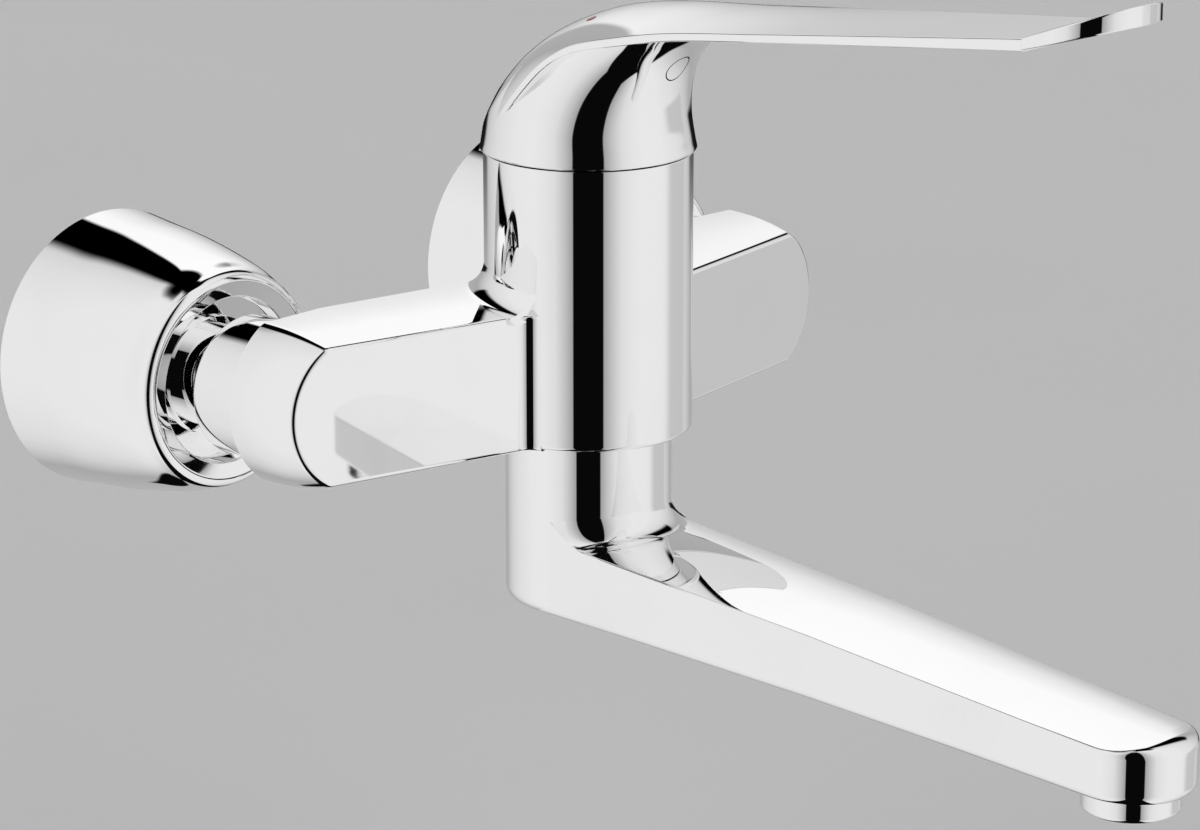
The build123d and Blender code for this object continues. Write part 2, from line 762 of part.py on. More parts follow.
def write_spout():
    save("spout", make_spout())
    save("spout_nipple", make_spout_nipple())
    shoulder = -body_foot - seal_thickness
    seal_radius = nipple_tail_radius - seal_inset
    seal_bore = nipple_thread_radius + running_fit
    save("nipple_seal", ring(0, body_y, shoulder, -body_foot, seal_radius, seal_bore))
    slide_inner = nipple_tail_radius + running_fit
    slide_outer = nipple_tail_radius + slide_ring_width
    slide_foot = -body_foot - slide_ring_height
    save("slide_ring", ring(0, body_y, slide_foot, -body_foot, slide_outer, slide_inner))
    save("upper_spout_o_ring", o_ring(upper_o_ring_drop))
    save("lower_spout_o_ring", o_ring(lower_o_ring_drop))
    save("spout_grub_screw", make_grub_screw())
    save("aerator_housing", make_aerator_housing())
    save("aerator_insert", make_aerator_insert())
    washer_foot = aerator_seat + aerator_thread_length
    washer_radius = aerator_thread_radius - running_fit
    washer_hole = aerator_washer_bore
    washer = ring(0, outlet_y, washer_foot, aerator_bore_top, washer_radius, washer_hole)
    save("aerator_washer", washer)


spout_top = -body_foot - spout_foot_gap
outlet_y = body_y - spout_reach
grub_z = -body_foot - grub_drop
aerator_seat = -aerator_seat_drop
aerator_bore_top = aerator_seat + aerator_thread_length + aerator_washer_height
write_spout()


# Unions and escutcheons, one set on each side

# The escutcheon's outline, from the wall to the lip: shares of its reach and of its radius
bell_shares = (
    (0.000, 1.000),
    (0.180, 0.975),
    (0.388, 0.947),
    (0.598, 0.903),
    (0.806, 0.844),
    (0.935, 0.786),
)


def make_union_nut():
    nut = ring_y(arm_end_x, 0, nut_near, nut_near + union_nut_lip, union_nut_radius, union_nut_lip_bore)
    bore = union_thread_radius + running_fit
    nut_far = nut_near + union_nut_length
    return nut + ring_y(arm_end_x, 0, nut_near + union_nut_lip, nut_far, union_nut_radius, bore)


def make_inlet_nipple():
    nipple = rod_y(arm_end_x, 0, arm_face_y - inlet_tail_depth, flange_near, inlet_tail_radius)
    nipple += rod_y(arm_end_x, 0, flange_near, washer_near, inlet_flange_radius)
    return nipple - rod_y(arm_end_x, 0, 2 * body_y, 0, inlet_bore)


def make_strainer():
    strainer = rod_y(arm_end_x, 0, washer_near, washer_near + strainer_thickness, strainer_radius)
    places = hole_places(6, strainer_hole_pitch) + hole_places(12, 2 * strainer_hole_pitch)
    for x, z in places + [(0, 0)]:
        strainer -= rod_y(arm_end_x + x, z, 2 * body_y, 0, strainer_hole_radius)
    return strainer


def make_s_union():
    """The offset connector, screwed into the wall and carrying the escutcheon and the nut."""
    thread_far = union_near + union_thread_length
    collar_far = thread_far + union_collar_length
    union = rod_y(arm_end_x, 0, union_near, thread_far, union_thread_radius)
    union += rod_y(arm_end_x, 0, thread_far, collar_far, union_collar_radius)
    union += rod_y(inlet_x, 0, collar_far, -union_hex_from_wall, union_body_radius)
    flats = RegularPolygon(union_hex_flats / 2, 6, major_radius=False)
    hexagon = extrude(flats, union_hex_length / 2, both=True)
    hex_y = -union_hex_from_wall - union_hex_length / 2
    union += Pos(inlet_x, hex_y, 0) * Rot(90, 0, 0) * hexagon
    thread = rod_y(inlet_x, 0, -union_hex_from_wall, wall_thread_length, wall_thread_radius)
    end = thread.edges().filter_by(GeomType.CIRCLE).sort_by(Axis.Y)[-1]
    union += chamfer(end, wall_thread_chamfer)
    union -= rod_y(arm_end_x, 0, 2 * body_y, collar_far, union_bore)
    return union - rod_y(inlet_x, 0, collar_far - cut_overrun, wall_thread_length, union_bore)


def make_escutcheon():
    """A thin bell with a rounded lip and a floor that rests on the union's collar."""
    outer = [(inlet_x + r * bell_radius, -y * bell_reach) for y, r in bell_shares]
    inner_scale = 1 - bell_floor_thickness / (bell_shares[-1][0] * bell_reach)
    inner = [(x - bell_wall, y * inner_scale) for x, y in outer]
    floor_front = outer[-1][1]
    floor_back = inner[-1][1]
    skin = Spline(*outer)
    rim = (inlet_x + bell_mouth_radius, -bell_reach)
    throat = (inlet_x + bell_mouth_radius, floor_front)
    hub_x = inlet_x + union_thread_radius / 2
    lines = [
        skin,
        TangentArc(outer[-1], rim, tangent=skin % 1),
        Line(rim, throat),
        Line(throat, (hub_x, floor_front)),
        Line((hub_x, floor_front), (hub_x, floor_back)),
        Line((hub_x, floor_back), inner[-1]),
        Spline(*inner),
        Line(inner[0], outer[0]),
    ]
    bell = revolve(make_face(lines), Axis((inlet_x, 0, 0), (0, 1, 0)))
    return bell - rod_y(arm_end_x, 0, 2 * body_y, 0, union_thread_radius + running_fit)


def write_unions():
    both_sides("union_nut", make_union_nut())
    both_sides("inlet_nipple", make_inlet_nipple())
    washer_bore = strainer_radius + running_fit
    washer = ring_y(arm_end_x, 0, washer_near, union_near, washer_radius, washer_bore)
    both_sides("sealing_washer", washer)
    both_sides("strainer", make_strainer())
    both_sides("s_union", make_s_union())
    both_sides("escutcheon", make_escutcheon())


nut_near = arm_face_y + joint_gap
flange_near = nut_near + union_nut_lip + inlet_flange_gap
washer_near = flange_near + inlet_flange_thickness
union_near = washer_near + washer_thickness
write_unions()
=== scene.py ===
import bpy
import json
import math
import numpy as np
from mathutils import Matrix, Vector


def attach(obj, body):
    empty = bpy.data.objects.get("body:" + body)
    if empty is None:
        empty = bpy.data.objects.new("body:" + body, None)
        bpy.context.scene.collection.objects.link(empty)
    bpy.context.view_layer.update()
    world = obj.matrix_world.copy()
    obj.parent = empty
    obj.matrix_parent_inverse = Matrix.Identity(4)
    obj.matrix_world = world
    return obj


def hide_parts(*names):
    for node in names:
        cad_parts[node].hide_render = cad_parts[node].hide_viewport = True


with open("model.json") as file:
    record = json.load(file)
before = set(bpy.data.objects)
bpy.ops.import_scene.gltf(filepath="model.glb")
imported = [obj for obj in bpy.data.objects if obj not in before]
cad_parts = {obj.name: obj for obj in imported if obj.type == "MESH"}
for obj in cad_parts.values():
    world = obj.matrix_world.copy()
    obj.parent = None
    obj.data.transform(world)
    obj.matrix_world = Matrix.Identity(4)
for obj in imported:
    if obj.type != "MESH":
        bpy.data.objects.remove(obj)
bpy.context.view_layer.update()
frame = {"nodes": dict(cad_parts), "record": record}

# %% [markdown]
# The tap is held in the frame of its CAD model: millimetres there, metres here. The origin is on
# the wall between the two inlets, +Y goes into the wall and +Z is up. Most pieces of a cast and
# polished tap are either turned on a lathe or swept, so the helpers below lay rows of points and
# close them with a skin of quads: quads in rows give a mirror surface that reflects without kinks.

# %% Helpers
MM = 0.001
BODY_Y = -101.0
LIP = 27.8
BODY_TOP = 55.6
REACH = 180.0
OUTLET_Y = BODY_Y - REACH
UNION_X = 76.6
MERGE = 1e-7

body_of = {node: body for body, nodes in frame["record"]["behaviour"]["bodies"].items() for node in nodes}


def only(obj):
    """Makes obj the one selected and active object."""
    bpy.ops.object.select_all(action="DESELECT")
    obj.select_set(True)
    bpy.context.view_layer.objects.active = obj


def joined(first, *others):
    """Joins the others into the first object."""
    only(first)
    for other in others:
        other.select_set(True)
    bpy.ops.object.join()


def finish_piece(obj, node, material, angle=30.0):
    """Shades obj smooth up to an angle, gives it its material, and lets it stand for the node."""
    only(obj)
    obj.data.materials.clear()
    obj.data.materials.append(material)
    bpy.ops.object.shade_smooth_by_angle(angle=math.radians(angle))
    for mod in list(obj.modifiers):
        bpy.ops.object.modifier_apply(modifier=mod.name)
    mod = obj.modifiers.new("normals", "WEIGHTED_NORMAL")
    mod.keep_sharp = True
    mod.weight = 60
    bpy.ops.object.modifier_apply(modifier=mod.name)
    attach(obj, body_of[node])
    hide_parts(node)
    return obj


def skin(name, rows):
    """A closed skin of quads laid over rows of points. Each row is a closed loop in millimetres."""
    rows = np.array(rows, dtype=float) * MM
    count = rows.shape[1]
    bpy.ops.object.select_all(action="DESELECT")
    bpy.ops.mesh.primitive_grid_add(x_subdivisions=count, y_subdivisions=len(rows) - 1, size=1)
    obj = bpy.context.object
    obj.name = name
    obj.data.name = name
    wrapped = np.concatenate([rows, rows[:, :1]], axis=1)
    obj.data.vertices.foreach_set("co", wrapped.ravel())
    bpy.ops.object.mode_set(mode="EDIT")
    bpy.ops.mesh.select_all(action="SELECT")
    bpy.ops.mesh.remove_doubles(threshold=MERGE)
    bpy.ops.mesh.fill_holes(sides=0)
    bpy.ops.mesh.normals_make_consistent(inside=False)
    bpy.ops.object.mode_set(mode="OBJECT")
    return obj


def rounded(points, radii, steps=6):
    """A polyline with its corners rounded to the given radii."""
    points = [np.array(p, dtype=float) for p in points]
    result = []
    for i, point in enumerate(points):
        radius = radii[i]
        if radius <= 0 or i in (0, len(points) - 1):
            result.append(point)
            continue
        a, b = points[i - 1] - point, points[i + 1] - point
        a, b = a / np.linalg.norm(a), b / np.linalg.norm(b)
        half = math.acos(max(-1.0, min(1.0, float(a @ b)))) / 2
        reach = radius / math.tan(half)
        middle = (a + b) / np.linalg.norm(a + b)
        centre = point + middle * radius / math.sin(half)
        start, end = point + a * reach - centre, point + b * reach - centre
        turn = math.pi - 2 * half
        for k in range(steps + 1):
            t = k / steps
            s0, s1 = math.sin((1 - t) * turn), math.sin(t * turn)
            result.append(centre + (start * s0 + end * s1) / math.sin(turn))
    return result


def turned(name, profile, centre, axis, count=128):
    """A turned piece from a profile of (radius, place along the axis), about a centre line.

    centre is the line's place across the axis."""
    rows = []
    angles = np.linspace(0, 2 * math.pi, count, endpoint=False)
    for radius, along in profile:
        across = np.stack([centre[0] + radius * np.cos(angles), centre[1] + radius * np.sin(angles)], axis=1)
        lengths = np.full((count, 1), along)
        if axis == "Z":
            rows.append(np.hstack([across, lengths]))
        else:
            rows.append(np.hstack([across[:, :1], lengths, across[:, 1:]]))
    return skin(name, rows)


def smooth_curve(rows, steps):
    """Points on a smooth curve through the rows, with steps between each two."""
    rows = np.array(rows, dtype=float)
    out = []
    for i in range(len(rows) - 1):
        p0, p1, p2, p3 = rows[max(i - 1, 0)], rows[i], rows[i + 1], rows[min(i + 2, len(rows) - 1)]
        if i == 0:
            p0 = 2 * p1 - p2
        if i == len(rows) - 2:
            p3 = 2 * p2 - p1
        for k in range(steps):
            t = k / steps
            out.append(0.5 * (2 * p1 + (p2 - p0) * t + (2 * p0 - 5 * p1 + 4 * p2 - p3) * t * t
                              + (3 * p1 - p0 - 3 * p2 + p3) * t * t * t))
    out.append(rows[-1])
    return np.array(out)


print("bodies:", sorted(set(body_of.values())), "nodes:", len(body_of))

# %% [markdown]
# The camera stands where the photograph's stood: 45 degrees to the left of the tap's front and 16
# degrees above it, far off with a long lens. It could be placed by eye, but the outlines only line
# up when the place is worked out, so the angles and the focal length were fitted to the tap's own
# straight edges and round rims.

# %% Camera
CAMERA_TURN, CAMERA_RISE = math.radians(45.36), math.radians(15.9)
FOCAL_PIXELS, PICTURE_WIDTH, SENSOR_WIDTH = 4919.66, 1200, 36.0
DISTANCE, ASIDE, LOWER = 1265.34, 2.963, 14.632
forward = Vector((math.sin(CAMERA_TURN) * math.cos(CAMERA_RISE),
                  math.cos(CAMERA_TURN) * math.cos(CAMERA_RISE), -math.sin(CAMERA_RISE)))
right = Vector((math.cos(CAMERA_TURN), -math.sin(CAMERA_TURN), 0))
up = right.cross(forward)
place = right * ASIDE + Vector((0, BODY_Y, -LOWER)) - forward * DISTANCE
bpy.ops.object.camera_add()
camera = bpy.context.object
camera.name = "camera"
camera.matrix_world = Matrix((
    (right.x, up.x, -forward.x, place.x * MM),
    (right.y, up.y, -forward.y, place.y * MM),
    (right.z, up.z, -forward.z, place.z * MM),
    (0, 0, 0, 1)))
camera.data.sensor_width = SENSOR_WIDTH
camera.data.lens = FOCAL_PIXELS / PICTURE_WIDTH * SENSOR_WIDTH
camera.data.clip_end = 20
bpy.context.scene.camera = camera
bpy.context.scene.view_settings.view_transform = "Standard"
print("camera at", [round(v, 3) for v in camera.matrix_world.translation], "lens", round(camera.data.lens, 2))

# %% [markdown]
# Polished chrome shows only what is round it, so the surroundings are the main part of its look.
# Such taps are photographed in a bright tent with a dark gap that the lens looks through. Real
# screens could stand there as lit planes, but they would cast shadows and show their edges, so the
# world's shader paints the tent: bright at the sides, dark in the gap, in a low seam behind the tap
# and high at the back, where it is open but for one bright panel.

# %% Surroundings
world = bpy.data.worlds.new("tent")
bpy.context.scene.world = world
world.use_nodes = True
tree = world.node_tree
tree.nodes.clear()


def math_node(tree, operation, *inputs):
    """One step of arithmetic on sockets or numbers."""
    node = tree.nodes.new("ShaderNodeMath")
    node.operation = operation
    for socket, value in zip(node.inputs, inputs):
        if isinstance(value, (int, float)):
            socket.default_value = value
        else:
            tree.links.new(value, socket)
    return node.outputs[0]


def fade(tree, value, start, end):
    """0 below start, 1 above end, smooth between."""
    node = tree.nodes.new("ShaderNodeMapRange")
    node.interpolation_type = "SMOOTHSTEP"
    tree.links.new(value, node.inputs["Value"])
    node.inputs["From Min"].default_value = start
    node.inputs["From Max"].default_value = end
    return node.outputs["Result"]


def ramp(tree, value, stops):
    """A colour ramp of greys or colours at the given places."""
    node = tree.nodes.new("ShaderNodeValToRGB")
    elements = node.color_ramp.elements
    while len(elements) > 1:
        elements.remove(elements[-1])
    for i, (at, colour) in enumerate(stops):
        element = elements[0] if i == 0 else elements.new(at)
        element.position = at
        shade = (colour, colour, colour) if isinstance(colour, (int, float)) else colour
        element.color = (*shade, 1)
    tree.links.new(value, node.inputs["Fac"])
    return node.outputs["Color"]


def mix(tree, factor, a, b):
    """A colour between a and b. Each of the three may be a socket or a value."""
    node = tree.nodes.new("ShaderNodeMix")
    node.data_type = "RGBA"
    for socket, value in ((node.inputs["Factor"], factor), (node.inputs[6], a), (node.inputs[7], b)):
        if isinstance(value, (int, float)):
            socket.default_value = value if socket.type == "VALUE" else (value, value, value, 1)
        elif isinstance(value, tuple):
            socket.default_value = (*value, 1)
        else:
            tree.links.new(value, socket)
    return node.outputs[2]


direction = tree.nodes.new("ShaderNodeTexCoord").outputs["Generated"]
parts = tree.nodes.new("ShaderNodeSeparateXYZ")
tree.links.new(direction, parts.inputs[0])
towards = Vector((-forward.x, -forward.y, 0)).normalized()
along = math_node(tree, "ADD", math_node(tree, "MULTIPLY", parts.outputs[0], towards.x),
                  math_node(tree, "MULTIPLY", parts.outputs[1], towards.y))
across = math_node(tree, "ADD", math_node(tree, "MULTIPLY", parts.outputs[0], -towards.y),
                   math_node(tree, "MULTIPLY", parts.outputs[1], towards.x))
# bearing is the angle round from the lens, turn its size as a share of half a turn
bearing = math_node(tree, "ARCTAN2", across, along)
turn = math_node(tree, "DIVIDE", math_node(tree, "ABSOLUTE", bearing), math.pi)
height = parts.outputs[2]
depth = math_node(tree, "MULTIPLY", height, -1.0)


def band(start, end, soft):
    """1 where the height is between start and end."""
    return math_node(tree, "SUBTRACT", fade(tree, height, start - soft, start + soft),
                     fade(tree, height, end - soft, end + soft))


BLACK, SEAM_GREY, GAP_GREY, PATCH_GREY, PATCH_SHARE, STRENGTH = 0.0, 0.01, 0.003, 0.62, 0.85, 0.85
walls = ramp(tree, turn, [
    (0.0, 0.40), (0.10, 0.45), (0.135, 0.62), (0.17, 0.76), (0.205, 0.89),
    (0.27, 0.96), (0.34, 1.0), (0.47, 0.99), (0.55, 0.94), (0.61, 0.91),
    (0.67, 0.85), (0.73, 0.77), (0.80, 0.62), (0.85, 0.48), (1.0, 0.55)])
# high behind the tap the tent is open and dark, and so is its peak on the far side
opening = math_node(tree, "MULTIPLY", fade(tree, turn, 0.70, 0.78), fade(tree, height, 0.46, 0.52))
tent = mix(tree, opening, walls, BLACK)
overhead = math_node(tree, "MULTIPLY", fade(tree, turn, 0.42, 0.52), fade(tree, height, 0.93, 0.97))
tent = mix(tree, overhead, tent, BLACK)
seam = math_node(tree, "MULTIPLY", fade(tree, turn, 0.78, 0.84), band(-0.23, -0.10, 0.02))
tent = mix(tree, seam, tent, SEAM_GREY)
# straight behind the tap stands the bright panel
panel_light = ramp(tree, math_node(tree, "MULTIPLY_ADD", height, 0.5, 0.5),
                   [(0.45, 0.55), (0.55, 0.75), (0.62, 0.95), (0.74, 1.18), (0.92, 1.22)])
panel = math_node(tree, "MULTIPLY", fade(tree, turn, 0.925, 0.94), band(-0.08, 0.86, 0.02))
tent = mix(tree, panel, tent, panel_light)
# a greyer patch low on the right, which the flat front of the right arm shows
patch = math_node(tree, "MULTIPLY", math_node(tree, "SUBTRACT", fade(tree, bearing, 1.60, 1.85),
                                              fade(tree, bearing, 2.2, 2.35)), band(-0.45, -0.06, 0.04))
tent = mix(tree, math_node(tree, "MULTIPLY", patch, PATCH_SHARE), tent, PATCH_GREY)
# the dark gap round the lens, which also runs down and along the ground as one strip
nearest = math_node(tree, "MAXIMUM", along, depth)
reach = math_node(tree, "DIVIDE", math_node(tree, "ABSOLUTE", across),
                  math_node(tree, "MAXIMUM", nearest, 0.001))
inside = math_node(tree, "SUBTRACT", 1.0, fade(tree, reach, 0.285, 0.315))
ahead = fade(tree, math_node(tree, "ADD", nearest, along), 0.0, 0.03)
gap = math_node(tree, "MULTIPLY", math_node(tree, "MULTIPLY", inside, ahead),
                math_node(tree, "SUBTRACT", 1.0, fade(tree, height, 0.975, 0.995)))
whole_tent = mix(tree, gap, tent, GAP_GREY)
surroundings = tree.nodes.new("ShaderNodeBackground")
surroundings.inputs["Strength"].default_value = STRENGTH
tree.links.new(whole_tent, surroundings.inputs["Color"])
out = tree.nodes.new("ShaderNodeOutputWorld")
tree.links.new(surroundings.outputs[0], out.inputs["Surface"])
print("world nodes:", len(tree.nodes))

# %% [markdown]
# Materials. The finishes share two groups of nodes: one for polished metal, which varies the
# roughness by faint wiping marks and keeps the base nearly even, and one for moulded and machined
# parts, which adds a fine grain. Shared groups keep the finishes alike, and each material keeps its
# own shader and scale.

# %% Material groups


def new_group(name, outputs):
    """A node group with a Scale input and the given outputs, and its two end nodes."""
    group = bpy.data.node_groups.new(name, "ShaderNodeTree")
    scale = group.interface.new_socket("Scale", in_out="INPUT", socket_type="NodeSocketFloat")
    scale.default_value = 100.0
    for label, kind in outputs:
        group.interface.new_socket(label, in_out="OUTPUT", socket_type=kind)
    return group, group.nodes.new("NodeGroupInput"), group.nodes.new("NodeGroupOutput")


def noise(tree, vector, scale, detail=3.0):
    """Noise over a vector, whose scale may be a socket."""
    node = tree.nodes.new("ShaderNodeTexNoise")
    node.inputs["Detail"].default_value = detail
    if isinstance(scale, (int, float)):
        node.inputs["Scale"].default_value = scale
    else:
        tree.links.new(scale, node.inputs["Scale"])
    tree.links.new(vector, node.inputs["Vector"])
    return node.outputs["Fac"]


FLOAT = "NodeSocketFloat"
polish, entry, leave = new_group("polished_surface", (("Smudge", FLOAT), ("Wave", FLOAT)))
coords = polish.nodes.new("ShaderNodeTexCoord").outputs["Object"]
wiped = noise(polish, coords, entry.outputs["Scale"], 4.0)
fine = noise(polish, coords, math_node(polish, "MULTIPLY", entry.outputs["Scale"], 9.0), 2.0)
polish.links.new(math_node(polish, "MULTIPLY", fade(polish, wiped, 0.45, 0.75), fine), leave.inputs["Smudge"])
polish.links.new(noise(polish, coords, math_node(polish, "MULTIPLY", entry.outputs["Scale"], 0.35), 0.0),
                 leave.inputs["Wave"])

grain, entry, leave = new_group("moulded_surface", (("Mottle", FLOAT), ("Grain", FLOAT)))
coords = grain.nodes.new("ShaderNodeTexCoord").outputs["Object"]
grain.links.new(noise(grain, coords, entry.outputs["Scale"]), leave.inputs["Mottle"])
grain.links.new(noise(grain, coords, math_node(grain, "MULTIPLY", entry.outputs["Scale"], 12.0), 2.0),
                leave.inputs["Grain"])


BUMP_DEPTH = 0.0005


def material(name, group, colours, roughness, metallic=0.0, scale=60.0, bump=0.02, coat=0.0):
    """A principled material whose colour, roughness and bump come from one of the groups."""
    made = bpy.data.materials.new(name)
    made.use_nodes = True
    tree = made.node_tree
    shader = tree.nodes["Principled BSDF"]
    shared = tree.nodes.new("ShaderNodeGroup")
    shared.node_tree = group
    shared.inputs["Scale"].default_value = scale
    first, second = shared.outputs[0], shared.outputs[1]
    tree.links.new(mix(tree, first, *colours), shader.inputs["Base Color"])
    low, high = roughness
    tree.links.new(math_node(tree, "MULTIPLY_ADD", first, high - low, low), shader.inputs["Roughness"])
    bumped = tree.nodes.new("ShaderNodeBump")
    bumped.inputs["Strength"].default_value = bump
    bumped.inputs["Distance"].default_value = BUMP_DEPTH
    tree.links.new(second, bumped.inputs["Height"])
    tree.links.new(bumped.outputs["Normal"], shader.inputs["Normal"])
    shader.inputs["Metallic"].default_value = metallic
    shader.inputs["Coat Weight"].default_value = coat
    return made


# %% [markdown]
# One material for each of the record's slots. Chrome is nearly colourless and mirror smooth. The
# brass, steel, rubber and plastics are seen only in gaps and when the parts are taken apart.

# %% Materials
CHROME, CHROME_ROUGHNESS, CHROME_BUMP = ((0.95, 0.95, 0.95), (0.92, 0.92, 0.93)), (0.018, 0.07), 0.004
finish = {}
for slot, scale in (("body", 40), ("spout", 45), ("lever", 50), ("trim", 55)):
    slot = "polished_" + slot
    finish[slot] = material(slot, polish, CHROME, CHROME_ROUGHNESS, 1.0, scale, CHROME_BUMP)
# each of the others has two tints, a range of roughness, metallic, scale, bump and coat
others = {
    "turned_brass": (((0.62, 0.42, 0.16), (0.50, 0.33, 0.12)), (0.22, 0.38), 1.0, 90, 0.08, 0.0),
    "steel_screw": (((0.55, 0.55, 0.56), (0.46, 0.46, 0.47)), (0.24, 0.4), 1.0, 140, 0.06, 0.0),
    "black_rubber": (((0.012, 0.012, 0.012), (0.02, 0.02, 0.02)), (0.5, 0.7), 0.0, 150, 0.2, 0.0),
    "white_plastic": (((0.78, 0.78, 0.76), (0.72, 0.72, 0.70)), (0.35, 0.5), 0.0, 120, 0.1, 0.0),
    "grey_plastic": (((0.42, 0.42, 0.43), (0.36, 0.36, 0.37)), (0.28, 0.42), 0.0, 120, 0.08, 0.0),
    "ceramic_disc": (((0.80, 0.79, 0.75), (0.74, 0.73, 0.69)), (0.12, 0.2), 0.0, 90, 0.02, 0.3),
    "red_mark": (((0.42, 0.010, 0.012), (0.32, 0.008, 0.010)), (0.2, 0.32), 0.0, 200, 0.04, 0.4),
    "blue_mark": (((0.010, 0.06, 0.42), (0.008, 0.045, 0.32)), (0.2, 0.32), 0.0, 200, 0.04, 0.4),
}
for slot, values in others.items():
    finish[slot] = material(slot, grain, *values)
print("materials:", len(finish))

# %% [markdown]
# The lever's back is one crowned strip. It rises from the rear lip, bends forward over the pivot
# and runs out into the blade, whose tip turns up. It could be a bent and bevelled box, but its
# crown changes all the way along. So it is laid from slices measured on the photo, drawn on a
# smooth curve, with small roundings along both edges. Each row gives, in shares of the lip's
# radius, the crest's place and height, the half width, the edge's place and height, and its depth.

# %% Lever back
hood_rows = [
    (1.000, 0.000, 0.760, 0.650, 0.000, 0.075), (0.935, 0.266, 0.863, 0.396, 0.248, 0.075),
    (0.791, 0.511, 0.921, 0.162, 0.493, 0.075), (0.612, 0.723, 0.946, -0.036, 0.698, 0.075),
    (0.360, 0.962, 0.942, -0.234, 0.896, 0.075), (0.000, 1.200, 0.932, -0.450, 1.058, 0.075),
    (-0.504, 1.400, 0.921, -0.719, 1.194, 0.075), (-1.079, 1.491, 0.899, -1.151, 1.309, 0.075),
    (-1.799, 1.528, 0.856, -1.799, 1.442, 0.075), (-2.806, 1.592, 0.788, -2.806, 1.568, 0.076),
    (-4.200, 1.738, 0.700, -4.200, 1.737, 0.090), (-5.380, 1.878, 0.622, -5.380, 1.877, 0.103)]
TIP_CENTRE, TIP_RADIUS, TIP_END = -160.5, 17.0, -177.45
FOLD_Y, FOLD_Z, FOLD_HALF, FOLD_THICK = -154.0, BODY_TOP + 1.900 * LIP, 0.612 * LIP, 2.95
FOLD_LEAD, FOLD_RISE = 1.2, 0.05
TIP_Z, TIP_Z_AT = BODY_TOP + 2.233 * LIP, -179.0
TIP_THICK, TIP_THICKENS = 2.9, 1.9
LEAST_CROWN = 0.03


def arc_through(a, crest, b, count):
    """Points on the arc from a over the crest to b."""
    middle = (a + b) / 2
    rise = np.linalg.norm(crest - middle)
    half = np.linalg.norm(b - a) / 2
    out, side = (crest - middle) / rise, (b - a) / (2 * half)
    radius = (half * half + rise * rise) / (2 * rise)
    sweep = math.asin(min(1.0, half / radius))
    if rise > half:
        sweep = math.pi - sweep
    points = []
    for k in range(count + 1):
        angle = -sweep + 2 * sweep * k / count
        lift = rise - radius + radius * math.cos(angle)
        points.append(middle + out * lift + side * radius * math.sin(angle))
    return points


def hood_outline(row, arc=40, flat=12, crease=0.55, heel=0.5):
    """A closed slice of the back: over its crown, round both edges and across underneath."""
    crest_y, crest_z, half, edge_y, edge_z, edge = row
    crest = np.array((0.0, BODY_Y + crest_y, crest_z))
    a, b = (np.array((x, BODY_Y + edge_y, edge_z)) for x in (-half, half))
    middle = (a + b) / 2
    outward = (crest - middle) / np.linalg.norm(crest - middle)
    top = arc_through(a, crest, b, arc)
    corners = [top[-2], b, b - outward * edge, middle - outward * edge]
    side = rounded(corners, [0, min(crease, edge * 0.3), min(heel, edge * 0.25), 0], 4)[1:-1]
    mirrored = [p * (-1, 1, 1) for p in reversed(side)]
    under = [side[-1] + (mirrored[0] - side[-1]) * k / flat for k in range(1, flat)]
    return top[1:-1] + side + under + mirrored


table = smooth_curve([tuple(v * LIP for v in row) for row in hood_rows], 8)
table[:, 1] += BODY_TOP
table[:, 4] += BODY_TOP
table[:, 1] = np.maximum(table[:, 1], table[:, 4] + LEAST_CROWN)
rows = [list(row) for row in table]
last = rows[-1]
for k in range(1, 4):
    t = k / 3
    y = last[0] + (FOLD_Y - FOLD_LEAD - last[0]) * t
    z = last[1] + (FOLD_Z + FOLD_RISE - last[1]) * t
    half = last[2] + (FOLD_HALF - last[2]) * t
    rows.append([y, z, half, y, z - LEAST_CROWN, last[5] + (FOLD_THICK - last[5]) * t])
straight = [0.05, 0.1, 0.2, 0.28]
for t in straight + [0.28 + 0.72 * math.sin(k * math.pi / 36) for k in range(1, 19)]:
    y = FOLD_Y + (TIP_END - FOLD_Y) * t
    z = FOLD_Z + (TIP_Z - FOLD_Z) * (y - FOLD_Y) / (TIP_Z_AT - FOLD_Y)
    half = TIP_RADIUS
    if y < TIP_CENTRE:
        half = math.sqrt(max(TIP_RADIUS ** 2 - (y - TIP_CENTRE) ** 2, 0.25))
    rows.append([y, z, half, y, z - LEAST_CROWN * half / TIP_RADIUS, TIP_THICK + TIP_THICKENS * t])
hood = skin("lever_back", [hood_outline(row) for row in rows])
print("lever back:", len(rows), "rows,", len(hood.data.polygons), "faces")

# %% [markdown]
# Under the back sits the cup, which covers the pivot ball. Its outside runs from a round lip to
# the blade, its front wall curves forward, and it is hollow. A shell with thickness from a
# modifier would not leave room for the ball, so one skin goes down the inside, round the lip and
# up the outside. The back closes it from above. cup_rows gives height, middle, half width and half
# length, dome_rows height, rear end and radius, in shares of the lip's radius.

# %% Lever cup
cup_rows = [(0.000, 0.000, 1.000, 1.000), (0.122, 0.000, 0.975, 0.975), (0.356, 0.000, 0.942, 0.942),
            (0.626, -0.036, 0.892, 0.950), (0.896, -0.144, 0.813, 0.971), (1.129, -0.288, 0.773, 1.043),
            (1.320, -0.414, 0.755, 1.170)]
dome_rows = [(0.000, 0.964, 1.080), (0.266, 0.899, 1.080), (0.511, 0.755, 1.080), (0.723, 0.576, 1.070),
             (0.942, 0.324, 1.060), (1.155, -0.045, 1.030), (1.320, -0.680, 0.900), (1.400, -1.300, 0.800)]
cup_table = smooth_curve(cup_rows, 12) * LIP
dome_table = smooth_curve(dome_rows, 12) * LIP
around = np.linspace(0, 2 * math.pi, 160, endpoint=False)
CUP_WALL, CUP_CEILING, CUP_TOP = 2.2, 84.0, 92.0
LIP_Z, LIP_ROUND, LIP_TAPER = BODY_TOP + 0.4, 0.5, 0.965
SWING, PIVOT_Z = 29.37, 44.1


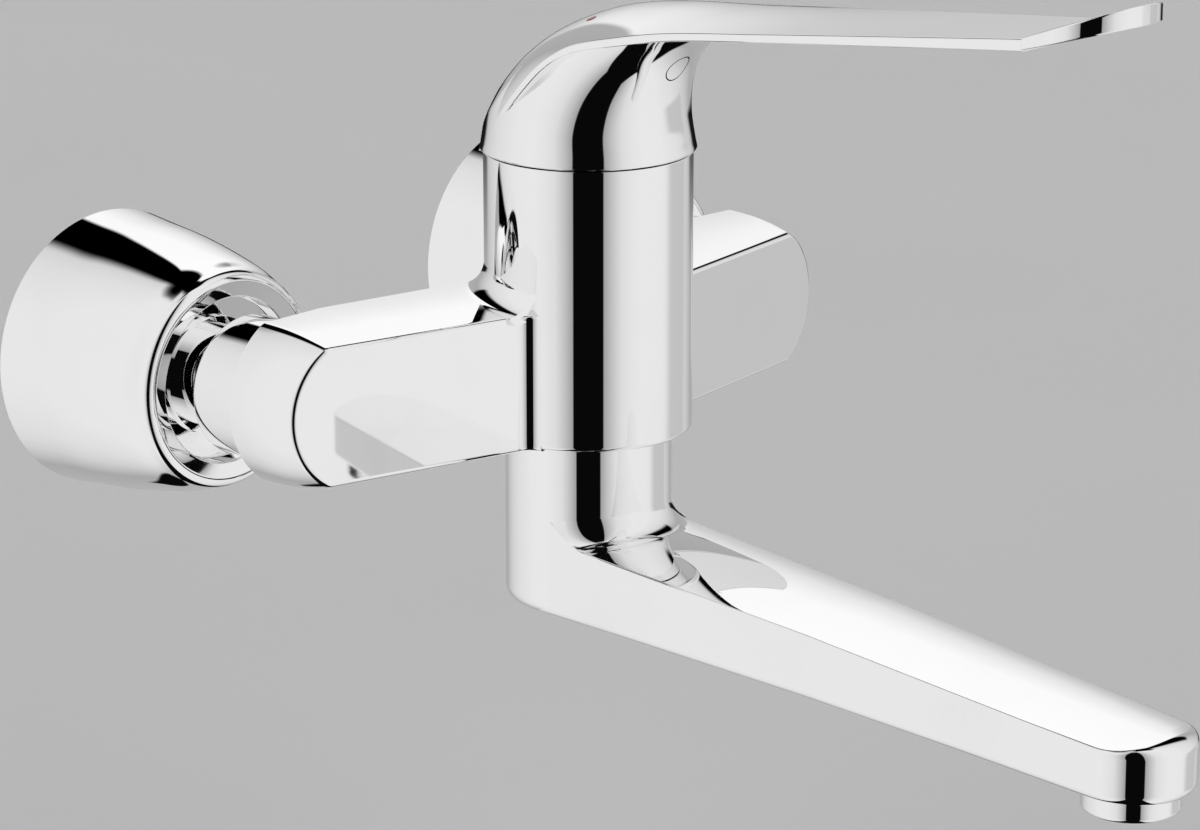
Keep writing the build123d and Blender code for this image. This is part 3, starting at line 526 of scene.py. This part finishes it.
def about_axis(loop, share):
    """A loop drawn towards the body's axis, or away from it, by a share."""
    return np.stack([loop[:, 0] * share, BODY_Y + (loop[:, 1] - BODY_Y) * share, loop[:, 2]], axis=1)


def clear_of_ball(loop):
    """Moves a loop's points out to the ball that the lever swings over."""
    reach = np.hypot(loop[:, 0], loop[:, 1] - BODY_Y)
    room = np.sqrt(np.maximum(SWING ** 2 - (loop[:, 2] - PIVOT_Z) ** 2, 0.0))
    return about_axis(loop, np.maximum(room / reach, 1.0))


def cup_loop(z, inset=0.0):
    """The cup's outline at a height, kept inside the circles that lean forward with the back."""
    level = z - BODY_TOP
    centre, wide, long = (np.interp(level, cup_table[:, 0], cup_table[:, i]) for i in (1, 2, 3))
    rear, radius = (np.interp(level, dome_table[:, 0], dome_table[:, i]) for i in (1, 2))
    x, y = (wide - inset) * np.cos(around), centre + (long - inset) * np.sin(around)
    off = np.hypot(x, y - (rear - radius))
    shrink = np.minimum((radius - inset) / off, 1.0)
    x, y = x * shrink, (rear - radius) + (y - (rear - radius)) * shrink
    return np.stack([x, BODY_Y + y, np.full_like(x, z)], axis=1)


loops = [clear_of_ball(cup_loop(z, CUP_WALL)) for z in np.linspace(CUP_CEILING, LIP_Z + 1.0, 24)]
loops.append(clear_of_ball(about_axis(cup_loop(LIP_Z + LIP_ROUND / 2), LIP_TAPER)))
base = cup_loop(LIP_Z + LIP_ROUND)
base_reach = np.hypot(base[:, 0], base[:, 1] - BODY_Y)
for angle in np.linspace(0, math.pi / 2, 7):
    loop = about_axis(base, (base_reach - LIP_ROUND * (1 - math.sin(angle))) / base_reach)
    loop[:, 2] = LIP_Z + LIP_ROUND * (1 - math.cos(angle))
    loops.append(clear_of_ball(loop))
loops += [cup_loop(z) for z in np.linspace(LIP_Z + 1.0, CUP_TOP, 60)]
cup = skin("lever_cup", loops)
print("cup:", len(loops), "loops,", len(cup.data.polygons), "faces")

# %% [markdown]
# The screw that clamps the lever to its stem hides behind a small plug in the cup's front wall,
# flush with it. So the plug is the core that the same drill would take out of the cup, a little
# smaller than the hole. Then the strip and the cup become one piece.

# %% Lever, joined
def drill(obj, radius, start, end, kind="DIFFERENCE"):
    """Takes a round hole out of obj, or keeps only that core, from one point to another in mm."""
    start, end = Vector(start) * MM, Vector(end) * MM
    bpy.ops.object.select_all(action="DESELECT")
    bpy.ops.mesh.primitive_cylinder_add(vertices=96, radius=radius * MM, depth=(end - start).length,
                                        location=(start + end) / 2)
    tool = bpy.context.object
    tool.rotation_mode = "QUATERNION"
    tool.rotation_quaternion = Vector((0, 0, 1)).rotation_difference(end - start)
    only(obj)
    cut = obj.modifiers.new("hole", "BOOLEAN")
    cut.operation = kind
    cut.object = tool
    bpy.context.view_layer.update()
    bpy.ops.object.modifier_apply(modifier=cut.name)
    bpy.data.objects.remove(tool)


PLUG_Z, PLUG_RADIUS, PLUG_GAP = 80.8, 3.1, 0.3
inner_end, outer_end = (0, BODY_Y - 24, PLUG_Z), (0, BODY_Y - 44, PLUG_Z)
plug = bpy.data.objects.new("lever_plug_disc", cup.data.copy())
bpy.context.collection.objects.link(plug)
drill(plug, PLUG_RADIUS, inner_end, outer_end, "INTERSECT")
drill(cup, PLUG_RADIUS + PLUG_GAP, inner_end, outer_end)
finish_piece(plug, "lever_screw_plug", finish["polished_lever"], 40)
joined(hood, cup)
lever = finish_piece(hood, "lever", finish["polished_lever"], 32)
lever.name = "lever_shell"
print("lever faces:", len(lever.data.polygons))

# %% [markdown]
# The red and blue marks show which way is hot and cold. They are small discs let into the back,
# one on each side in front of the pivot. A ray from above finds the surface at three near points,
# which gives each disc its height and its tilt.

# %% Marks
MARK_ASIDE, MARK_FORWARD, MARK_RADIUS, FROM_ABOVE, STEP = 12.5, 13.5, 1.36, 200, 0.8
bpy.context.view_layer.update()
for name, side, slot in (("hot_mark", -1, "red_mark"), ("cold_mark", 1, "blue_mark")):
    x, y = side * MARK_ASIDE, BODY_Y - MARK_FORWARD
    spots = [lever.ray_cast(Vector((x + dx, y + dy, FROM_ABOVE)) * MM, Vector((0, 0, -1)))[1]
             for dx, dy in ((0, 0), (STEP, 0), (0, STEP))]
    tilt = (spots[1] - spots[0]).cross(spots[2] - spots[0]).normalized()
    corners = [(0.01, -1.0), (MARK_RADIUS, -1.0), (MARK_RADIUS, 0.10), (0.01, 0.14)]
    disc = turned(name + "_disc", rounded(corners, [0, 0.1, 0.15, 0], 4), (0, 0), "Z", 48)
    turn_to = Vector((0, 0, 1)).rotation_difference(tilt).to_matrix().to_4x4()
    disc.data.transform(Matrix.Translation(spots[0]) @ turn_to)
    finish_piece(disc, name, finish[slot], 40)

# %% [markdown]
# The two escutcheons are thin bells that hide the wall connections, usually drawn from sheet.
# Each is turned here from one profile: a soft flare from the wall, a rounded lip, a short mouth,
# and a floor whose hole sits a little off centre, where the offset union comes through. That is
# why each ring carries its own centre.

# %% Escutcheons
ESCUTCHEON_X, ESCUTCHEON_LOWER, BELL_WALL, BELL_SHARE = 75.0, 0.8, 1.8, 0.956
FLOOR_BACK, UNION_HOLE = -40.8, 13.26
bell = smooth_curve([(36.0, 0.0), (35.1, -8.82), (34.09, -19.01), (32.51, -29.3), (30.38, -39.49),
                     (28.30, -45.8)], 8)
lip = rounded([(28.30, -45.8), (27.72, -49.0), (21.3, -47.6), (21.3, -45.0)], [0, 2.6, 0.6, 0], 10)[1:-1]
ring = np.linspace(0, 2 * math.pi, 160, endpoint=False)
for side, word in ((-1, "left"), (1, "right")):
    bell_x, hole_x = side * ESCUTCHEON_X, side * UNION_X
    profile = [(r, y, bell_x) for r, y in [*bell, *lip]]
    profile += [(21.2, -43.4, bell_x), (20.9, -42.9, bell_x), (13.4, -42.4, hole_x),
                (UNION_HOLE, -42.2, hole_x), (UNION_HOLE, FLOOR_BACK, hole_x), (26.2, FLOOR_BACK, bell_x)]
    profile += [(r - BELL_WALL, y * BELL_SHARE, bell_x) for r, y in reversed(bell[:-1])]
    profile += [(34.3, 0.0, bell_x), (35.9, 0.0, bell_x)]
    rows = [np.stack([cx + r * np.cos(ring), np.full_like(ring, y), r * np.sin(ring) - ESCUTCHEON_LOWER],
                     axis=1) for r, y, cx in profile]
    piece = skin("escutcheon_bell_" + word, rows + [rows[0]])
    finish_piece(piece, "escutcheon_" + word, finish["polished_trim"], 35)
print("escutcheon profile points:", len(profile))

# %% [markdown]
# Union nuts: plain round sleeves with softened edges, closed at the front by a thin lip that pulls
# the inlet's flange against the washer. A drilled and bevelled cylinder would do as well, but one
# closed profile gives the outside, the lip and the bore at once.

# %% Union nuts
for side, word in ((-1, "left"), (1, "right")):
    corners = [(11.8, -71.5), (18.0, -71.5), (18.0, -55.8), (UNION_HOLE, -55.8), (UNION_HOLE, -68.5),
               (11.8, -68.5), (11.8, -71.5)]
    profile = rounded(corners, [0, 0.45, 0.55, 0.3, 0, 0, 0], 5)
    piece = turned("union_sleeve_" + word, profile, (side * UNION_X, 0), "Y", 160)
    finish_piece(piece, "union_nut_" + word, finish["polished_trim"], 35)

# %% [markdown]
# The aerator's housing is a short ring screwed into the spout's tip. Only its plain lower part
# shows, so it is turned from a closed profile too, with the larger rounding round the outlet.

# %% Aerator ring
corners = [(9.6, -74.8), (12.05, -74.8), (12.05, -69.0), (10.95, -69.0), (10.95, -63.0),
           (9.6, -63.0), (9.6, -74.8)]
profile = rounded(corners, [0, 1.35, 0.15, 0, 0.3, 0, 0], 8)
piece = turned("aerator_ring", profile, (0, OUTLET_Y), "Z", 128)
finish_piece(piece, "aerator_housing", finish["polished_trim"], 35)

# %% [markdown]
# The cast body is a barrel with two long arms. Each arm is a flat front with a round end, swept
# back to a larger outline at the wall side, and slightly full between the two. A bevelled box
# leaves kinks in the reflections, so the arm is laid in rows from front to back, and the narrow
# rounding round the front face gets rows of its own. FRONT and BACK give, for each of the two
# outlines, how far its middle lies behind the axis, its sweep and its half height.

# %% Body arms
FRONT = (-10.2, math.radians(11.3), 17.65)
BACK = (18.9, math.radians(8.9), 20.7)
ARM_FACE, ARM_EDGE, ARM_BULGE, BARREL, BLEND = 29.2, 1.1, 0.8, 26.7, 6.0
BEND, BEND_RADIUS, BEND_SHARE = math.radians(32.0), 0.22, 0.2


def round_end(angle):
    """A point and the outward direction on an arm's end, for a half height of one.

    The end is nearly half a circle, with a tighter bend where it meets the straight edges."""
    wide = (1 - BEND_RADIUS * (1 - math.cos(BEND))) / math.cos(BEND)
    shift = 1 - wide * (1 - math.sin(BEND)) - BEND_RADIUS * math.sin(BEND)
    size = abs(angle)
    if size <= math.pi / 2 - BEND:
        x = shift + (BEND_RADIUS - wide) * math.sin(BEND) + wide * math.cos(size)
        z = wide * math.sin(size)
    else:
        x, z = shift + BEND_RADIUS * math.cos(size), 1 - BEND_RADIUS * (1 - math.sin(size))
    return x, math.copysign(z, angle), math.cos(angle), math.sin(angle)


def end_angle(t):
    """Angles round the end, closer together in its two tight bends."""
    if t < BEND_SHARE:
        return -math.pi / 2 + BEND * t / BEND_SHARE
    if t > 1 - BEND_SHARE:
        return math.pi / 2 - BEND * (1 - t) / BEND_SHARE
    return (-math.pi / 2 + BEND) + (math.pi - 2 * BEND) * (t - BEND_SHARE) / (1 - 2 * BEND_SHARE)


END_START = round_end(math.pi / 2)[0]
arm_steps = [("low", t) for t in np.linspace(0, 1, 30)]
arm_steps += [("end", t) for t in np.linspace(0, 1, 61)[1:-1]]
arm_steps += [("top", t) for t in np.linspace(1, 0, 30)]


def arm_loop(share, inset=0.0, depth=0.0, squash=1.0):
    """The right arm's outline at a share of the way from its front face to its back.

    inset draws it in and depth sets it back, in mm. squash flattens it towards its middle."""
    points = []
    for part, t in arm_steps:
        ends = []
        for lead, sweep, radius in (FRONT, BACK):
            run = UNION_X / math.cos(sweep)
            if part != "end":
                run = (run + radius * END_START) * t
            ends.append((run * math.cos(sweep), lead + run * math.sin(sweep), radius, sweep))
        (x0, y0, r0, w0), (x1, y1, r1, w1) = ends
        near, far = y0, y1 + 0.001
        if part == "end":
            ex, ez, nx, nz = round_end(end_angle(t))
            near, far = y0 + r0 * ex * math.sin(w0), y1 + r1 * ex * math.sin(w1)
        limit = min(1.0, (ARM_FACE - near) / (far - near))
        k = share * limit + depth / (far - near)
        radius = r0 + (r1 - r0) * k
        proud = ARM_BULGE * math.sin(math.pi * min(k / limit, 1.0)) - inset
        sweep = w0 + (w1 - w0) * k
        x, y = x0 + (x1 - x0) * k, y0 + (y1 - y0) * k
        if part == "end":
            x += (radius * ex + proud * nx) * math.cos(sweep)
            y += (radius * ex + proud * nx) * math.sin(sweep)
            z = radius * ez + proud * nz
        else:
            z = (radius + proud) * (-1.0 if part == "low" else 1.0)
        points.append((x, BODY_Y + min(y, ARM_FACE), z * squash))
    return points


arm_rows = []
for k in range(8):
    bend = math.pi / 2 * k / 7
    arm_rows.append(arm_loop(0.0, ARM_EDGE * (1 - math.sin(bend)), ARM_EDGE * (1 - math.cos(bend))))
arm_rows += [arm_loop(share) for share in np.linspace(0.06, 1.0, 26)]
arm_rows += [arm_loop(1.0, 0.0, 0.0, squash) for squash in (0.97, 0.5, 0.0)]
print("arm rows:", len(arm_rows), "of", len(arm_rows[0]), "points")

# %% [markdown]
# Where an arm leaves the barrel there is a hollow blend. In front it is an upright patch that
# touches the barrel and the flat face. On top it is a strip that follows the barrel round. A bevel
# works on edges that two joined surfaces share, and these only run through each other, so both
# blends are laid as closed slivers that reach a little into the metal.

# %% Blends
lead, sweep, radius = FRONT
front_out = np.array((math.sin(sweep), -math.cos(sweep)))
arm_way = np.array((math.cos(sweep), math.sin(sweep)))
INTO_FACE, INNER_SHARE = 3, 0.86
low_x, high_x = 10.0, 60.0
for _ in range(60):
    middle_x = (low_x + high_x) / 2
    spot = np.array((0, lead)) + front_out * BLEND + arm_way * middle_x
    low_x, high_x = (middle_x, high_x) if np.hypot(*spot) < BARREL + BLEND else (low_x, middle_x)
first = spot * BARREL / (BARREL + BLEND)
last_angle = math.atan2(*(-front_out)[::-1])
first_angle = math.atan2(*(first - spot)[::-1])
sweep_angle = (last_angle - first_angle + math.pi) % (2 * math.pi) - math.pi
patch_rows = []
rim = [ARM_EDGE * (1 - math.sin(a)) for a in np.linspace(math.pi / 2, 0, 6)]
level = radius - ARM_EDGE - 1
heights = [-radius + step for step in rim] + list(np.linspace(-level, level, 9))
heights += [radius - step for step in reversed(rim)]
for z in heights:
    past = max(0.0, abs(z) - (radius - ARM_EDGE)) / ARM_EDGE
    reach = BLEND + ARM_EDGE * (1 - math.sqrt(max(0.0, 1 - past * past)))
    turns = [first_angle + sweep_angle * t for t in np.linspace(0, 1, 24)]
    loop = [spot + reach * np.array((math.cos(a), math.sin(a))) for a in turns]
    loop += [loop[-1] - front_out * INTO_FACE, first * INNER_SHARE]
    patch_rows.append([(x, BODY_Y + y, z) for x, y in loop])


def arm_top(x, y):
    """How high the arm's top is over a point in plan."""
    near = FRONT[0] + x * math.tan(FRONT[1])
    far = min(BACK[0] + x * math.tan(BACK[1]), ARM_FACE)
    k = min(1.0, max(0.0, (y - near) / (far - near)))
    return FRONT[2] + (BACK[2] - FRONT[2]) * k + ARM_BULGE * math.sin(math.pi * k)


BLEND_LINE, STRIP_STOP, STRIP_LEAD = BARREL + BLEND, math.radians(43), 0.12
INTO_BARREL, INTO_ARM = 2, 1.5
strip_rows = []
start_angle = math.atan2(spot[1], spot[0])
for t in np.linspace(0, 1, 40):
    loop = []
    for a in np.linspace(0, math.pi / 2, 16):
        r = BARREL + BLEND * (1 - math.cos(a))
        turn_in = math.acos(min(1.0, (r * r + BLEND_LINE ** 2 - BLEND ** 2) / (2 * r * BLEND_LINE)))
        theta = (start_angle + turn_in) * (1 - t) + STRIP_STOP * t
        x, y = r * math.cos(theta), r * math.sin(theta)
        loop.append((x, BODY_Y + y, arm_top(x, y) + BLEND * (1 - math.sin(a))))
    for r in (BLEND_LINE, BARREL - INTO_BARREL):
        theta = (start_angle + STRIP_LEAD) * (1 - t) + STRIP_STOP * t
        x, y = r * math.cos(theta), r * math.sin(theta)
        loop.append((x, BODY_Y + y, arm_top(x, y) - INTO_ARM))
    strip_rows.append(loop)

# %% [markdown]
# The arms meet inside the barrel, so its bores are drilled out of them too, and so is a seat for
# each inlet. The barrel itself is turned as a closed wall. Joining the pieces, without a boolean,
# keeps their rows of quads whole.

# %% Body, joined
BARREL_FOOT, SOCKET_TOP, CHAMBER_FLOOR, CHAMBER, SOCKET, INLET = -17.2, -9.5, 13.0, 17.56, 10.56, 11.56
body_parts = []
for side, word in ((1, "right"), (-1, "left")):
    arm = skin("body_arm_" + word, np.array(arm_rows) * (side, 1, 1))
    drill(arm, BARREL + 0.01, (0, BODY_Y, -30), (0, BODY_Y, BARREL_FOOT))
    drill(arm, CHAMBER, (0, BODY_Y, CHAMBER_FLOOR), (0, BODY_Y, 60))
    drill(arm, SOCKET, (0, BODY_Y, -18.0), (0, BODY_Y, SOCKET_TOP))
    drill(arm, INLET, (side * UNION_X, BODY_Y + 17.2, 0), (side * UNION_X, BODY_Y + 31, 0))
    body_parts.append(arm)
    body_parts.append(skin("front_blend_" + word, np.array(patch_rows) * (side, 1, 1)))
    body_parts.append(skin("top_blend_" + word, np.array(strip_rows) * (side, 1, 1)))
wall = [(0.01, SOCKET_TOP), (SOCKET, SOCKET_TOP), (SOCKET, BARREL_FOOT), (BARREL, BARREL_FOOT),
        (BARREL, BODY_TOP), (22.41, BODY_TOP), (22.41, 52.0), (20.0, 52.0), (20.0, 40.0), (CHAMBER, 40.0),
        (CHAMBER, CHAMBER_FLOOR), (0.01, CHAMBER_FLOOR)]
profile = rounded(wall, [0, 0, 0.3, 1.4, 0.35, 0.2, 0, 0, 0, 0, 0, 0], 6)
barrel = turned("body_barrel", profile, (0, BODY_Y), "Z", 192)
joined(barrel, *body_parts)
finish_piece(barrel, "mixer_body", finish["polished_body"], 30)
print("body faces:", len(barrel.data.polygons))

# %% [markdown]
# The spout is a short tube and a long flat arm that ends round over the outlet. The rows of the
# arm's top start as circles round the tube, so that the hollow blend at its foot has rows of its
# own, and straighten towards the outlet. Round the tip the rows turn like a fan. An extruded box
# would meet the tube in a hard corner. spout_rows gives the place as a share of the reach, then the
# half width, the side's top and the underside.

# %% Spout
TUBE, FOOT, DEPTH, CROWN, TIP = 21.45, 6.0, 63.2, 2.6, 15.69
STRAIGHT_FROM, STRAIGHT_OVER, INWARD, HEEL_IN = 60, 100, 1.6, 8
TUBE_TOP, BORE, BORE_FLOOR, BORE_ROOM = -17.6, 14.0, -48.6, 0.05
OUTLET_BORE, GRUB_BORE, GRUB_Z = 10.98, 2.56, -32.7
spout_rows = np.array([
    (0.000, 0.9600, 0.6710, 0.9968), (0.180, 0.9172, 0.7052, 1.0058), (0.508, 0.8392, 0.7673, 1.0285),
    (0.770, 0.7762, 0.8322, 1.0598), (1.000, 0.7317, 0.8861, 1.0914), (1.100, 0.7317, 0.9085, 1.1051)])


def spout_size(along):
    """Half width, side height and underside at a distance in front of the tube's axis."""
    half, top, under = (np.interp(along / REACH, spout_rows[:, 0], spout_rows[:, i]) for i in (1, 2, 3))
    return half * TUBE, -top * DEPTH, -under * DEPTH


def spout_top(x, along):
    """The crowned top, with the hollow blend up to the tube."""
    half, edge, _ = spout_size(along)
    radius = (half * half + CROWN * CROWN) / (2 * CROWN)
    crown = math.sqrt(max(radius * radius - x * x, 0)) - (radius - CROWN)
    away = min(max(math.hypot(x, along) - TUBE, 0.0), FOOT)
    return edge + crown + FOOT - math.sqrt(max(FOOT ** 2 - (FOOT - away) ** 2, 0.0))


def spout_row(plan, wall_at, aim, crease, heel):
    """Half a row: the top points in plan, then down the wall and in along the underside.

    plan gives (x, along) of the top point at a share of the way out. wall_at is the wall's place,
    aim the outward direction in plan, crease and heel the roundings of the two edges."""
    wall_at, aim = np.array(wall_at), np.array(aim)
    under = spout_size(wall_at[1])[2]
    points = []
    for share in np.linspace(0, 1, 26):
        x, along = plan(share)
        points.append((x, along, spout_top(x, along)))
    top_in, top_out = spout_top(*(wall_at - aim * crease * INWARD)), spout_top(*wall_at)
    corners = [(-INWARD * crease, top_in), (0, top_out), (0, under), (-HEEL_IN, under)]
    for off, z in rounded(corners, [0, crease, heel, 0], 8)[1:-1]:
        x, along = wall_at + aim * off
        points.append((x, along, z))
    middle = np.array((0, wall_at[1] if aim[1] == 0 else REACH))
    for share in (0.75, 0.5, 0.25, 0.0):
        x, along = (wall_at - aim * HEEL_IN) * share + middle * (1 - share)
        points.append((x, along, spout_size(along)[2]))
    return points


def whole(half_row):
    """A closed loop from half a row: the right half, then its mirror image back up."""
    left = [(-x, along, z) for x, along, z in half_row[1:-1]][::-1]
    return [(x, BODY_Y - along, z) for x, along, z in half_row + left]


arm_loops = []
distances = [TUBE + FOOT * (1 - math.cos(a)) for a in np.linspace(0, math.pi / 2, 16)]
distances += list(np.linspace(TUBE + FOOT, REACH, 50)[1:-1]) + [REACH]
for away in [TUBE - 1.0] + distances:
    straight = min(max((away - STRAIGHT_FROM) / STRAIGHT_OVER, 0.0), 1.0)
    crease = 0.7 + 0.5 * max(0.0, (away - 160) / 20)
    along = away
    for _ in range(30):
        half = spout_size(along)[0]
        along = math.sqrt(max(away ** 2 - half ** 2, 0.0)) * (1 - straight) + away * straight
    limit = half - INWARD * crease

    def plan(share, away=away, limit=limit, straight=straight):
        x = limit * share
        curved = math.sqrt(max(away ** 2 - x ** 2, 0.0))
        return x, curved * (1 - straight) + away * straight

    row = spout_row(plan, (half, along), (1.0, 0.0), crease, 2.2)
    arm_loops.append(whole(row))
for angle in np.linspace(0, math.pi / 2, 26)[1:]:
    aim = (math.cos(angle), math.sin(angle))
    crease = 1.2 + 3.0 * math.sin(angle) ** 2
    edge = np.array((0, REACH)) + np.array(aim) * TIP

    def plan(share, aim=aim, crease=crease):
        place = np.array((0, REACH)) + np.array(aim) * (TIP - INWARD * crease) * share
        return place[0], place[1]

    arm_loops.append(whole(spout_row(plan, edge, aim, crease, 2.2 + 1.0 * math.sin(angle))))
arm = skin("spout_arm", arm_loops)
drill(arm, OUTLET_BORE, (0, OUTLET_Y, -80), (0, OUTLET_Y, -62))
drill(arm, BORE + BORE_ROOM, (0, BODY_Y, BORE_FLOOR - BORE_ROOM), (0, BODY_Y, -10))
tube_wall = [(0.01, -DEPTH), (TUBE, -DEPTH), (TUBE, TUBE_TOP), (17.3, TUBE_TOP), (17.3, -20.0),
             (BORE, -20.0), (BORE, BORE_FLOOR), (0.01, BORE_FLOOR)]
profile = rounded(tube_wall, [0, 4.0, 0.35, 0.3, 0, 0, 0, 0], 8)
tube = turned("spout_shell", profile, (0, BODY_Y), "Z", 192)
drill(tube, GRUB_BORE, (0, BODY_Y + 13, GRUB_Z), (0, BODY_Y + 25, GRUB_Z))
joined(tube, arm)
finish_piece(tube, "spout", finish["polished_spout"], 30)
print("spout faces:", len(tube.data.polygons))

# %% [markdown]
# The smaller pieces keep their CAD shape, because little of them is seen. Each is a copy of its
# mesh with the loose corners merged, so that it shades smoothly and only true edges stay sharp.

# %% Pieces with the CAD's shape
made = {"lever", "lever_screw_plug", "hot_mark", "cold_mark", "escutcheon_left", "escutcheon_right",
        "union_nut_left", "union_nut_right", "aerator_housing", "mixer_body", "spout"}
COPY_MERGE = 1e-6
for node, source in frame["nodes"].items():
    if node in made:
        continue
    slot = source.data.materials[0].name.split(".")[0] if source.data.materials else "polished_trim"
    slot = slot if slot in finish else "polished_trim"
    mesh = source.data.copy()
    piece = bpy.data.objects.new(node + "_smooth", mesh)
    bpy.context.collection.objects.link(piece)
    only(piece)
    if mesh.has_custom_normals:
        bpy.ops.mesh.customdata_custom_splitnormals_clear()
    bpy.ops.object.mode_set(mode="EDIT")
    bpy.ops.mesh.select_all(action="SELECT")
    bpy.ops.mesh.remove_doubles(threshold=COPY_MERGE)
    bpy.ops.mesh.normals_make_consistent(inside=False)
    bpy.ops.object.mode_set(mode="OBJECT")
    finish_piece(piece, node, finish[slot], 28)
    print(node, slot, len(mesh.polygons))

# %% [markdown]
# A pale floor well below the tap catches its soft shadow. It is kept out of the reflections, so
# that the chrome shows the tent alone.

# %% Floor
FLOOR_SIZE, FLOOR_Z = 12, -0.22
bpy.ops.object.select_all(action="DESELECT")
bpy.ops.mesh.primitive_plane_add(size=FLOOR_SIZE, location=(0, 0, FLOOR_Z))
floor = bpy.context.object
floor.name = "floor"
PAPER = ((0.90, 0.90, 0.90), (0.87, 0.87, 0.87))
floor.data.materials.append(material("floor_paper", grain, PAPER, (0.6, 0.8), 0.0, 3, 0.0))
floor.visible_glossy = False
